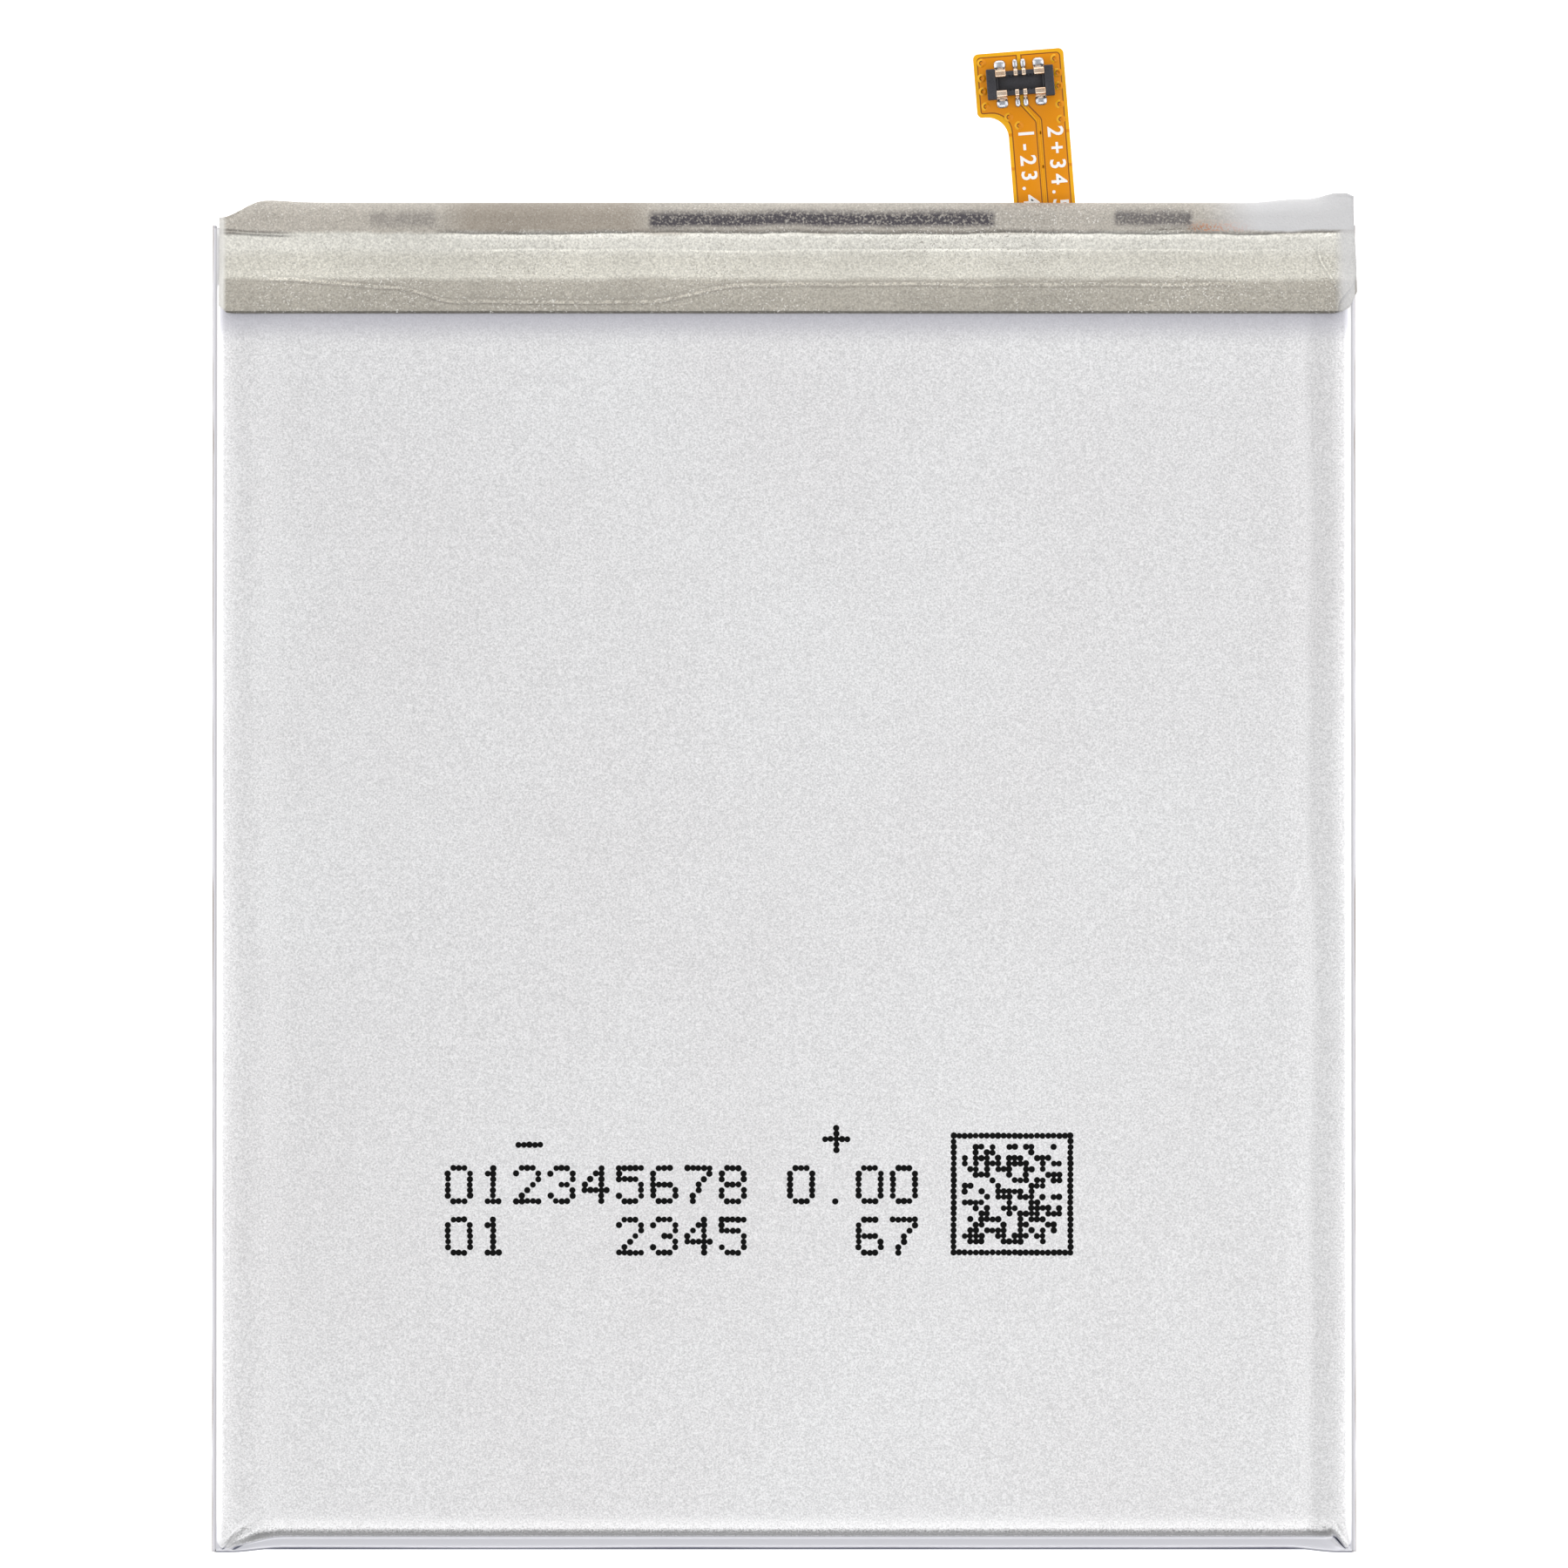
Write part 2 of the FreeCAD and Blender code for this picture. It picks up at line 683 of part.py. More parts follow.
def connector_solder():
    """Solder in each pad opening, with a wedge against the foot's tip."""
    joints = []
    for (u, width, side, _), (pad_u, pad_v) in zip(contact_places(), head_pads()):
        low = copper_low + copper_t
        fill = block(pad_u, pad_v, (low, plug_z))
        tip = plug_v + side * (rail_outer + contact_t + contact_foot)
        points = [V(u - width / 2, tip, plug_z), V(u - width / 2, tip + side * 2 * pad_margin, plug_z),
                  V(u - width / 2, tip, plug_z + solder_height)]
        wedge = Part.Face(Part.makePolygon(points + points[:1])).extrude(V(width, 0, 0))
        joints.append(fuse([fill, wedge]))
    return tail_frame(Part.makeCompound(joints))


# ---------------------------------------------------------------- tape and label
def wrap_tape():
    """Tape round the terrace and the board, from the front face to the rear face."""
    t = tape_t / 2
    over_face = z_front + t
    over_terrace = z_flange + tape_gap + t
    under_board = z_tab_low - tab_t / 2 - 2 * clear - t
    along_wall = y_wall + clear + t
    out = y_tape - t
    lap = y_wall - tape_overlap
    path = [(lap, over_face), (y_wall - tape_leaves_face, over_face), (y_wall + tape_meets_terrace, over_terrace),
            (out, over_terrace), (out, under_board), (along_wall, under_board), (along_wall, t), (lap, t)]
    bends = [*tape_bends, cup_edge_r + clear + t]
    tube = bent_strip(path, bends, tape_t, lengthwise(-tape_left), V(tape_left + tape_right, 0, 0))
    slot = block((-tail_width / 2 - tail_slot_clear, tail_width / 2 + tail_slot_clear),
                 (-4 * tape_t, 4 * tape_t), (-hinge_r - tail_slot_clear, hinge_r + tail_slot_clear))
    return tube.cut(tail_frame(slot))


def rear_label():
    """Plain label film on the rear face."""
    half = body_half - label_margin
    return block((-half, half), (y_foot + label_margin, y_wall - tape_overlap - label_tape_gap),
                 (z_rear - label_t, z_rear))


# ---------------------------------------------------------------- every node
nodes = {
    "pouch_cup": pouch_cup,
    "pouch_cover": pouch_cover,
    "heat_seal": heat_seal,
    "separator_inner": separator_inner,
    "cathode_sheet": cathode_sheet,
    "separator_outer": separator_outer,
    "anode_sheet": anode_sheet,
    "roll_closing_tape": roll_closing_tape,
    "positive_tab": lambda: tab(tab_positive_x),
    "negative_tab": lambda: tab(tab_negative_x),
    "tab_sealant": tab_sealant,
    "tab_insulation_strip": tab_insulation_strip,
    "protection_board": protection_board,
    "weld_plates": weld_plates,
    "mosfets": mosfets,
    "protection_ic": protection_ic,
    "sense_resistor": sense_resistor,
    "thermistor": thermistor,
    "chip_capacitors": chip_capacitors,
    "chip_resistors": chip_resistors,
    "terrace_insulator": terrace_insulator,
    "flex_root_film": flex_root_film,
    "flex_root_copper": flex_root_copper,
    "flex_root_solder": flex_root_solder,
    "flex_tail_film": flex_tail_film,
    "flex_tail_copper": flex_tail_copper,
    "flex_head_film": flex_head_film,
    "flex_head_copper": flex_head_copper,
    "connector_stiffener": connector_stiffener,
    "connector_housing": connector_housing,
    "power_contacts": lambda: contacts("power"),
    "signal_contacts": lambda: contacts("signal"),
    "connector_solder": connector_solder,
    "wrap_tape": wrap_tape,
    "rear_label": rear_label,
}

os.makedirs("parts", exist_ok=True)
for name, make in nodes.items():
    shape = make()
    bad = [s for s in shape.Solids if not s.isValid() or s.Volume <= 0]
    print(f"{name}: {len(shape.Solids)} solids, {shape.Volume:.3f} mm3{', NOT VALID' if bad else ''}")
    shape.exportStep(f"parts/{name}.step")

axis = (math.cos(math.radians(tail_lean)), math.sin(math.radians(tail_lean)), 0)
for label, v in (("tail_bend", root_hinge_v), ("head_bend", neck_hinge_v)):
    x = tail_x - v * math.sin(math.radians(tail_lean))
    y = y_tape + v * math.cos(math.radians(tail_lean))
    print(f"{label}: at ({x:.4f}, {y:.4f}, {z_flex_mid:.4f}), axis ({axis[0]:.5f}, {axis[1]:.5f}, 0)")
print(f"front face z {z_front:.3f}, tape lap y {y_wall - tape_overlap:.3f}, flex mid z {z_flex_mid:.3f}")
print(f"turn pitch {pitch:.4f}, cathode {cathode_t:.4f}, anode {anode_t:.4f}")
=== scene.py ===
import json
import math
import random

import bmesh
import bpy
from mathutils import Matrix, Vector, noise


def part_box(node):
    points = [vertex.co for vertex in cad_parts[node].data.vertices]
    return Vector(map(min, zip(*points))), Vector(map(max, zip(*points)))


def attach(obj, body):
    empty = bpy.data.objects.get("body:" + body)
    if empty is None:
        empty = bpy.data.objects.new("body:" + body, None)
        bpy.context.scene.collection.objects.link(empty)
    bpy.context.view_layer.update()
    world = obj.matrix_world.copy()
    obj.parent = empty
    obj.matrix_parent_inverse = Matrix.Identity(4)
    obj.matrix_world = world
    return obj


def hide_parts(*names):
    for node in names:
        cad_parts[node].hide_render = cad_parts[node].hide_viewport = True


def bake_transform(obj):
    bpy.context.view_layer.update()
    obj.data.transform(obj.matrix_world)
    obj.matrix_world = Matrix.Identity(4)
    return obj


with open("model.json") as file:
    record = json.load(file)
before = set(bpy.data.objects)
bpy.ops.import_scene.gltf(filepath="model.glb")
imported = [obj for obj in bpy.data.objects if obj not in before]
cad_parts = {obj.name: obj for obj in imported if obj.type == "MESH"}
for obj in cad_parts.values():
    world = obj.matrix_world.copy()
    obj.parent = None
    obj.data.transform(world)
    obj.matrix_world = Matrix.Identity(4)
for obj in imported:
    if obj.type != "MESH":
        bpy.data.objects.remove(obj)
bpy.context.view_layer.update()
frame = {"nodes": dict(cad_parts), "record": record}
mm = 0.001  # sizes below are in millimetres
scene = bpy.context.scene
joints = {joint["name"]: joint for joint in frame["record"]["behaviour"]["joints"]}


def boxOf(node):
    low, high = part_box(node)
    return Vector(low) / mm, Vector(high) / mm


coverLow, coverHigh = boxOf("pouch_cover")
tapeLow, tapeHigh = boxOf("wrap_tape")
labelLow, labelHigh = boxOf("rear_label")
stripLow, stripHigh = boxOf("tab_insulation_strip")
foldRadius = 0.2           # outside of the pouch's side folds
panDepth = 0.55            # from the seal's plane up to the face
bodyHalf = coverHigh.x - foldRadius
seamZ = coverHigh.z - panDepth
print("frame loaded")


# small tools

def smoothStep(edge0, edge1, value):
    t = min(max((value - edge0) / (edge1 - edge0), 0), 1)
    return t * t * (3 - 2 * t)


def wave(point, scale, seed):
    # smooth noise between about -1 and 1; scale is the wrinkle's size in mm
    return noise.noise(Vector(point) / scale + Vector((seed * 7.3, seed * 3.1, seed * 1.7)))


def hexColor(code):
    # sRGB hex to linear
    parts = [int(code[i:i + 2], 16) / 255 for i in (0, 2, 4)]
    return [c / 12.92 if c <= 0.04045 else ((c + 0.055) / 1.055) ** 2.4 for c in parts] + [1.0]


def finishMesh(name, bm, materials, place=None, smoothAngle=40):
    # turns a bmesh in mm into an object in metres, at the origin
    if place:
        bmesh.ops.transform(bm, matrix=place, verts=bm.verts)
    bmesh.ops.scale(bm, vec=(mm, mm, mm), verts=bm.verts)
    for face in bm.faces:
        face.smooth = True
    for edge in bm.edges:
        if len(edge.link_faces) == 2 and edge.calc_face_angle(0) > math.radians(smoothAngle):
            edge.smooth = False
    mesh = bpy.data.meshes.new(name)
    bm.to_mesh(mesh)
    bm.free()
    for material in materials:
        mesh.materials.append(material)
    piece = bpy.data.objects.new(name, mesh)
    scene.collection.objects.link(piece)
    return piece


def addSolidify(piece, thickness, offset=-1):
    modifier = piece.modifiers.new("filmThickness", "SOLIDIFY")
    modifier.thickness = thickness * mm
    modifier.offset = offset


def bevelEdges(bm, edges, offset, segments=2):
    bmesh.ops.bevel(bm, geom=edges, offset=offset, offset_type="OFFSET", segments=segments, profile=0.5,
                    affect="EDGES", material=-1, clamp_overlap=True)


def bevelCorner(bm, vert, offset, segments=6):
    bmesh.ops.bevel(bm, geom=[vert], offset=offset, offset_type="OFFSET", segments=segments, profile=0.5,
                    affect="VERTICES", material=-1, clamp_overlap=True)


def addBlock(bm, low, high, bevel=0.0, segments=2):
    made = bmesh.ops.create_cube(bm, size=1)
    low, high = Vector(low), Vector(high)
    bmesh.ops.scale(bm, vec=high - low, verts=made["verts"])
    bmesh.ops.translate(bm, vec=(low + high) / 2, verts=made["verts"])
    if bevel:
        edges = list({edge for vert in made["verts"] for edge in vert.link_edges})
        bevelEdges(bm, edges, bevel, segments)


# materials

def addNode(tree, kind, settings=None, inputs=None):
    # an input is a plain value, an output, or a node, which then gives its first output in use; stops are a ramp's
    node = tree.nodes.new("ShaderNode" + kind)
    for name, value in (settings or {}).items():
        if name != "stops":
            setattr(node, name, value)
            continue
        elements = node.color_ramp.elements
        while len(elements) < len(value):
            elements.new(0.5)
        for element, (position, code) in zip(elements, value):
            element.position = position
            element.color = hexColor(code)
    for name, value in (inputs or {}).items():
        if isinstance(value, bpy.types.Node):
            value = next(socket for socket in value.outputs if socket.enabled)
        if isinstance(value, bpy.types.NodeSocket):
            tree.links.new(value, node.inputs[name])
        else:
            node.inputs[name].default_value = value
    return node


def startMaterial(name, shaderInputs):
    material = bpy.data.materials.new(name)
    material.use_nodes = True
    tree = material.node_tree
    shader = tree.nodes["Principled BSDF"]
    for socket, value in shaderInputs.items():
        shader.inputs[socket].default_value = value
    return material, tree, shader


def plainMaterial(name, colors, roughness, metallic=0.0, grain=0.2, bumpHeight=0.004, stretch=(1, 1, 1), mapName=None,
                  **more):
    # two tones over a grain of the given size in mm, with the same grain as bump and roughness
    material, tree, shader = startMaterial(name, {"Metallic": metallic, **more})
    coords = addNode(tree, "TexCoord")
    source = coords.outputs["UV" if mapName else "Object"]
    turn = addNode(tree, "Mapping", inputs={"Vector": source, "Scale": stretch})
    fine = addNode(tree, "TexNoise",
                   inputs={"Vector": turn, "Scale": 1 / (grain * mm), "Detail": 3.0, "Roughness": 0.6})
    broad = addNode(tree, "TexNoise", inputs={"Vector": turn, "Scale": 1 / (grain * 14 * mm), "Detail": 4.0})
    mixed = addNode(tree, "Mix", {"data_type": "FLOAT"}, {"Factor": 0.5, "A": fine, "B": broad})
    tones = addNode(tree, "ValToRGB", {"stops": [(0.35, colors[0]), (0.65, colors[1])]}, {"Fac": mixed})
    tree.links.new(tones.outputs["Color"], shader.inputs["Base Color"])
    rough = addNode(tree, "MapRange",
                    inputs={"Value": mixed, "From Min": 0.3, "From Max": 0.7, "To Min": roughness - 0.06,
                            "To Max": roughness + 0.08})
    tree.links.new(rough.outputs["Result"], shader.inputs["Roughness"])
    bump = addNode(tree, "Bump", inputs={"Strength": 0.6, "Distance": bumpHeight * mm, "Height": fine})
    tree.links.new(bump.outputs["Normal"], shader.inputs["Normal"])
    return material


laminate = {
    "pale": "f0f0f0",
    "deep": "edecec",
    "lipTone": "dcdce1",    # pressed smooth and a little cooler
    # painted shade tone for the lower curl of the bottom fold
    "underLipShade": "5d6070",
    "grooveShade": 0.45,
    # painted shadow tone for the soft band below the tape
    "tapeShadowTone": "bcbbc4",
    "foldShadeTone": "c5c4c8",   # painted shade: the folded side seals are smoother, and darker and cooler
    "edgeLine": "8b827c",   # cut edge of the film behind
    "grain": 0.085,         # embossed nylon grain
    "grainHeight": 0.012,
    "shadeReach": 1.9,      # soft dark band beside the tape
    # painted light and shade across the face, as tone by position
    "shadingBands": [(-27.5, "ffffff"), (-27.0, "fafafa"), (-26.4, "f6f6f6"), (-25.4, "fcfcfc"), (-24.0, "f8f8f8"),
              (-8.0, "fafafa"), (12.0, "fcfcfc"), (24.2, "fbfbfb"), (24.9, "ffffff"), (25.6, "ffffff"),
              (26.0, "f0f0f0"), (27.0, "f2f2f2"), (27.4, "ffffff")],  # position in mm and tone
}


def laminateMaterial():
    # aluminium laminate film: foil under matte nylon, so a pale satin metal with a fine embossed sparkle
    material, tree, shader = startMaterial("aluminiumLaminateFilm", {"Metallic": 0.5})
    coords = addNode(tree, "TexCoord")
    place = coords.outputs["Object"]
    axes = addNode(tree, "SeparateXYZ", inputs={"Vector": place})
    across = addNode(tree, "Math", {"operation": "ABSOLUTE"}, {0: axes.outputs["X"]})
    grain = addNode(tree, "TexNoise",
                    inputs={"Vector": place, "Scale": 1 / (laminate["grain"] * mm), "Detail": 2.0, "Roughness": 0.7})
    broad = addNode(tree, "TexNoise", inputs={"Vector": place, "Scale": 1 / (9 * mm), "Detail": 3.0})
    tones = addNode(tree, "ValToRGB", {"stops": [(0.3, laminate["deep"]), (0.7, laminate["pale"])]}, {"Fac": broad})
    # seals and folds are pressed smooth: no grain outside the pan's shoulder
    pressedSide = addNode(tree, "MapRange",
                          inputs={"Value": across, "From Min": (bodyHalf - 0.4) * mm,
                                  "From Max": (bodyHalf - 0.15) * mm})
    pressedLip = addNode(tree, "MapRange",
                         inputs={"Value": axes.outputs["Z"], "From Min": (seamZ + 0.06) * mm,
                                 "From Max": (seamZ + 0.16) * mm, "To Min": 1.0, "To Max": 0.0})
    pressed = addNode(tree, "Math", {"operation": "MAXIMUM"}, {0: pressedSide, 1: pressedLip})
    grainOn = addNode(tree, "MapRange", inputs={"Value": pressed, "To Min": 1.0, "To Max": 0.12})
    speck = addNode(tree, "MapRange",
                    inputs={"Value": grain, "From Min": 0.32, "From Max": 0.68, "To Min": -0.2, "To Max": 0.2})
    grained = addNode(tree, "Math", {"operation": "MULTIPLY_ADD"}, {2: 1.0, 0: speck, 1: grainOn})
    # painted light and shade: the face is a little brighter towards its right side, with lighter and darker bands
    # where the winding's flat part ends and painted highlights along the side shoulders
    run = addNode(tree, "TexNoise", {"noise_dimensions": "1D"},
                  {"W": axes.outputs["Y"], "Scale": 1 / (16 * mm), "Detail": 2.0})
    shifted = addNode(tree, "MapRange", inputs={"Value": run, "To Min": -0.5 * mm, "To Max": 0.5 * mm})
    swayed = addNode(tree, "Math", {"operation": "ADD"}, {0: axes.outputs["X"], 1: shifted})
    span = addNode(tree, "MapRange", inputs={"Value": swayed, "From Min": -28 * mm, "From Max": 28 * mm})
    shadingBands = addNode(tree, "ValToRGB", {"stops": [((x + 28) / 56, tone) for x, tone in laminate["shadingBands"]]},
                    {"Fac": span})
    level = addNode(tree, "Math", {"operation": "MULTIPLY"}, {0: grained, 1: shadingBands})
    toned = addNode(tree, "VectorMath", {"operation": "SCALE"}, {0: tones, "Scale": level})
    # painted shadow: the film is darkened in a soft band below the tape's lower edge
    beside = addNode(tree, "MapRange", {"interpolation_type": "SMOOTHERSTEP"},
                     {"Value": axes.outputs["Y"], "From Min": (tapeLow.y - laminate["shadeReach"]) * mm,
                      "From Max": tapeLow.y * mm, "To Min": 0.0, "To Max": 0.75})
    face = addNode(tree, "Math", {"operation": "GREATER_THAN"}, {0: axes.outputs["Z"], 1: (coverHigh.z - 0.3) * mm})
    mask = addNode(tree, "Math", {"operation": "MULTIPLY"}, {0: beside, 1: face})
    shaded = addNode(tree, "Mix", {"data_type": "RGBA"},
                     {"B": hexColor(laminate["tapeShadowTone"]), "A": toned, "Factor": mask})
    # the lip is pressed smooth, and painted shade darkens the groove above it
    foot = addNode(tree, "MapRange",
                   inputs={"Value": axes.outputs["Y"], "From Min": (coverLow.y + 1.6) * mm,
                           "From Max": (coverLow.y + 1.2) * mm})
    awayFromSides = addNode(tree, "MapRange",
                            inputs={"Value": across, "From Min": (bodyHalf - 0.35) * mm,
                                    "From Max": (bodyHalf - 1.3) * mm, "To Min": 0.1})
    ragged = addNode(tree, "MapRange", inputs={"Value": grain, "To Min": -0.14 * mm, "To Max": 0.14 * mm})
    depth = addNode(tree, "Math", {"operation": "ADD"}, {0: axes.outputs["Z"], 1: ragged})
    onLip = addNode(tree, "MapRange",
                    inputs={"Value": axes.outputs["Z"], "From Min": (seamZ + 0.08) * mm,
                            "From Max": (seamZ + 0.01) * mm})
    lipMask = addNode(tree, "Math", {"operation": "MULTIPLY"}, {0: foot, 1: onLip})
    lipped = addNode(tree, "Mix", {"data_type": "RGBA"},
                     {"B": hexColor(laminate["lipTone"]), "A": shaded, "Factor": lipMask})
    grooveLow = addNode(tree, "MapRange",
                        inputs={"Value": depth, "From Min": (seamZ + 0.06) * mm, "From Max": (seamZ + 0.14) * mm})
    grooveHigh = addNode(tree, "MapRange",
                         inputs={"Value": depth, "From Min": (seamZ + 0.44) * mm, "From Max": (seamZ + 0.3) * mm})
    grooveBand = addNode(tree, "Math", {"operation": "MULTIPLY"}, {0: grooveLow, 1: grooveHigh})
    grooveFoot = addNode(tree, "Math", {"operation": "MULTIPLY"}, {0: foot, 1: awayFromSides})
    grooveMask = addNode(tree, "Math", {"operation": "MULTIPLY"}, {0: grooveBand, 1: grooveFoot})
    grooveTone = addNode(tree, "MapRange",
                         inputs={"Value": grooveMask, "To Min": 1.0, "To Max": laminate["grooveShade"]})
    grooved = addNode(tree, "VectorMath", {"operation": "SCALE"}, {0: lipped, "Scale": grooveTone})
    # painted shade on the lower curl of the bottom fold
    underLip = addNode(tree, "MapRange",
                       inputs={"Value": axes.outputs["Z"], "From Min": (seamZ - 0.03) * mm,
                               "From Max": (seamZ - 0.05) * mm})
    overWall = addNode(tree, "MapRange",
                       inputs={"Value": axes.outputs["Z"], "From Min": (seamZ - 0.4) * mm,
                               "From Max": (seamZ - 0.3) * mm})
    edgeOnly = addNode(tree, "Math", {"operation": "MULTIPLY"}, {0: underLip, 1: overWall})
    underLipShadeMask = addNode(tree, "Math", {"operation": "MULTIPLY"}, {0: edgeOnly, 1: foot})
    rimmed = addNode(tree, "Mix", {"data_type": "RGBA"},
                     {"B": hexColor(laminate["underLipShade"]), "A": grooved, "Factor": underLipShadeMask})
    # painted shade over the side folds
    foldShadeMask = addNode(tree, "MapRange",
                       inputs={"Value": across, "From Min": (bodyHalf - 0.02) * mm,
                               "From Max": (bodyHalf + 0.02) * mm})
    folded = addNode(tree, "Mix", {"data_type": "RGBA"},
                     {"B": hexColor(laminate["foldShadeTone"]), "A": rimmed, "Factor": foldShadeMask})
    # the line wanders, as the cut film behind does
    wander = addNode(tree, "TexNoise", {"noise_dimensions": "1D"},
                     {"W": axes.outputs["Y"], "Scale": 1 / (6 * mm), "Detail": 3.0})
    edgeAt = addNode(tree, "MapRange",
                     inputs={"Value": wander, "From Min": 0.35, "From Max": 0.65,
                             "To Min": (coverHigh.x - 0.07) * mm, "To Max": (coverHigh.x - 0.005) * mm})
    onEdge = addNode(tree, "Math", {"operation": "GREATER_THAN"}, {0: across, 1: edgeAt})
    high = addNode(tree, "Math", {"operation": "GREATER_THAN"}, {0: axes.outputs["Z"], 1: (seamZ - 0.42) * mm})
    lineMask = addNode(tree, "Math", {"operation": "MULTIPLY"}, {0: onEdge, 1: high})
    lined = addNode(tree, "Mix", {"data_type": "RGBA"},
                    {"B": hexColor(laminate["edgeLine"]), "A": folded, "Factor": lineMask})
    tree.links.new(lined.outputs["Result"], shader.inputs["Base Color"])
    rough = addNode(tree, "MapRange",
                    inputs={"Value": grain, "From Min": 0.3, "From Max": 0.7, "To Min": 0.34, "To Max": 0.48})
    tree.links.new(rough.outputs["Result"], shader.inputs["Roughness"])
    bump = addNode(tree, "Bump",
                   inputs={"Distance": laminate["grainHeight"] * mm, "Height": grain, "Strength": grainOn})
    tree.links.new(bump.outputs["Normal"], shader.inputs["Normal"])
    return material


tape = {
    "thickness": 0.08,
    "columns": 150,
    "leftEnd": -27.67,
    "rightEnd": 28.06,
    "frontEdge": 27.66,
    "outerEdge": 33.17,
    "tallEnd": ((22.6, 25.4, 0.2), (25.7, 27.1, 0.26)),  # the free right-hand end stands out in two steps
    "endLean": 0.14,
    "wallY": 29.36,          # the cell's top wall under the tape
    "terraceZ": 5.02,
    "underZ": 2.73,
    "wrinkle": 0.03,
    "pinchReach": 2.2,       # the ends are gathered over this length
    "pinchLift": 1.75,
    "filmEnd": 32.05,        # beyond the terrace's film the ends are pressed shut
    "shutZ": 4.9,
    "cutCorner": 0.4,        # lower left corner
    "roundCorner": 1.2,      # lower right corner
    "cornerFade": 1.3,       # the trimmed corners reach this far up the lap
    "rounding": [0.5, 0.35, 0.75, 0.3, 0.3, 1.0],  # at each bend, from the front face round to the rear face
    "creases": ((-25.0, 0.35, 0.04), (-24.3, -0.2, 0.03), (24.6, 0.9, 0.04), (26.2, -0.7, 0.04)),  # X, lean, height
}

tapeLook = {
    "onFace": "a9a499",
    "onTerrace": "cbc8bd",
    "onTerraceHigh": "d6d4cb",
    "onBoard": "b1aba1",
    "through": "37333d",    # dark parts seen through it
    "clear": "cfcfd0",      # free edge with nothing behind
    # painted highlight along the tape's left end where it droops over the shoulder
    "leftRimHighlight": "e6e4de",
    "stepY": 29.36,
    "terraceEdgeY": 31.62,
    # each noise: size in mm, an offset so that no two are alike, and its own settings; glints are painted highlight
    # specks on the crinkled film, and the dark specks beside them are darker spots in it
    "noises": {
        "fine": (0.1, 0.0, {"Detail": 2.0}), "crinkle": (0.28, 0.0, {"Detail": 3.0, "Distortion": 1.8}),
        "patchy": (5.0, 0.2, {"Detail": 3.0}), "wander": (3.0, 0.0, {"Detail": 3.0}),
        "cloud": (4.0, 2.1, {"Detail": 2.0}), "glint": (0.08, 0.7, {"Detail": 1.0}),
        "darkSpeck": (0.09, 1.3, {"Detail": 1.0}), "contact": (0.12, 0.5, {"Detail": 2.0}),
    },
    # painted highlight specks on the crinkled film
    "glint": "f4f2ec",
    "darkSpeck": "8d877c",
    "toneScale": 1.35,     # full white in a line's tones stands for this
    # the lines are painted highlights and shadows along the tape's steps, creases and adhesive beads
    # each line: where it runs, how far it sways, its rises on the way, its span, how solid it is, and tones over the
    # distance from it in mm; it runs along X, or along Y when upright
    "lines": [
        {"at": 31.58, "sway": 0.22, "rises": [], "span": (-16.8, 27.2), "solid": 0.8,
         "tones": [(-0.3, "e0e0e0"), (-0.14, "f8f8f8"), (-0.03, "ffffff"), (0.03, "7d7b7b"), (0.1, "a9a7a6"),
                   (0.24, "e0e0e0")]},
        {"at": 31.66, "sway": 0.12, "rises": [(-27.6, -24.6, -0.12)], "span": (-27.8, -24.2), "solid": 0.9,
         "tones": [(-0.16, "e0e0e0"), (-0.05, "8a8886"), (0.03, "d8d8d8"), (0.1, "969492"), (0.2, "e0e0e0")]},
        {"at": 30.82, "sway": 0.2, "rises": [], "span": (-16.0, 24.5), "solid": 0.25,
         "tones": [(-0.14, "e0e0e0"), (-0.04, "ffffff"), (0.05, "d2d2d2"), (0.2, "e0e0e0")]},
        {"at": 29.34, "sway": 0.16, "rises": [(-24.8, -19.0, -0.42), (-19.2, -16.0, -0.7), (-7.0, -1.5, 0.85)],
         "span": (-25.2, 22.0), "solid": 0.8, "beaded": True,
         "tones": [(-0.2, "e0e0e0"), (-0.1, "a3a09c"), (-0.03, "ffffff"), (0.06, "ffffff"), (0.13, "c4c2be"),
                   (0.26, "e0e0e0")]},
        {"at": 28.6, "sway": 0.1, "rises": [], "span": (21.5, 26.6), "solid": 0.5, "beaded": True,
         "tones": [(-0.12, "e0e0e0"), (-0.03, "f8f8f8"), (0.04, "c8c8c8"), (0.12, "e0e0e0")]},
        {"at": 31.76, "sway": 0.3, "rises": [], "span": (18.0, 27.4), "solid": 0.7, "beaded": True,
         "tones": [(-0.18, "e0e0e0"), (-0.05, "ffffff"), (0.04, "87827a"), (0.14, "b5b0a8"), (0.26, "e0e0e0")]},
        {"at": 27.3, "sway": 0.1, "rises": [(28.2, 30.8, -1.1)], "span": (28.3, 30.9), "solid": 0.7, "beaded": True,
         "upright": True,
         "tones": [(-0.2, "e0e0e0"), (-0.07, "aaa7a2"), (0.02, "ffffff"), (0.1, "c4c2be"), (0.24, "e0e0e0")]},
        {"at": 27.2, "sway": 0.04, "rises": [(28.0, 29.3, 0.75)], "span": (27.9, 29.2), "solid": 0.9, "upright": True,
         "tones": [(-0.2, "e0e0e0"), (-0.08, "f8f8f8"), (0.0, "7d7b7b"), (0.08, "b8b6b4"), (0.2, "e0e0e0")]},
    ],
    "browned": (-16.2, -6.9),   # the board's weld plate tints this length of the outer edge
    "tint": "857868",
    "rust": "b5703f",           # flux beside the right-hand part
    "rustSpan": (20.1, 22.8),
}


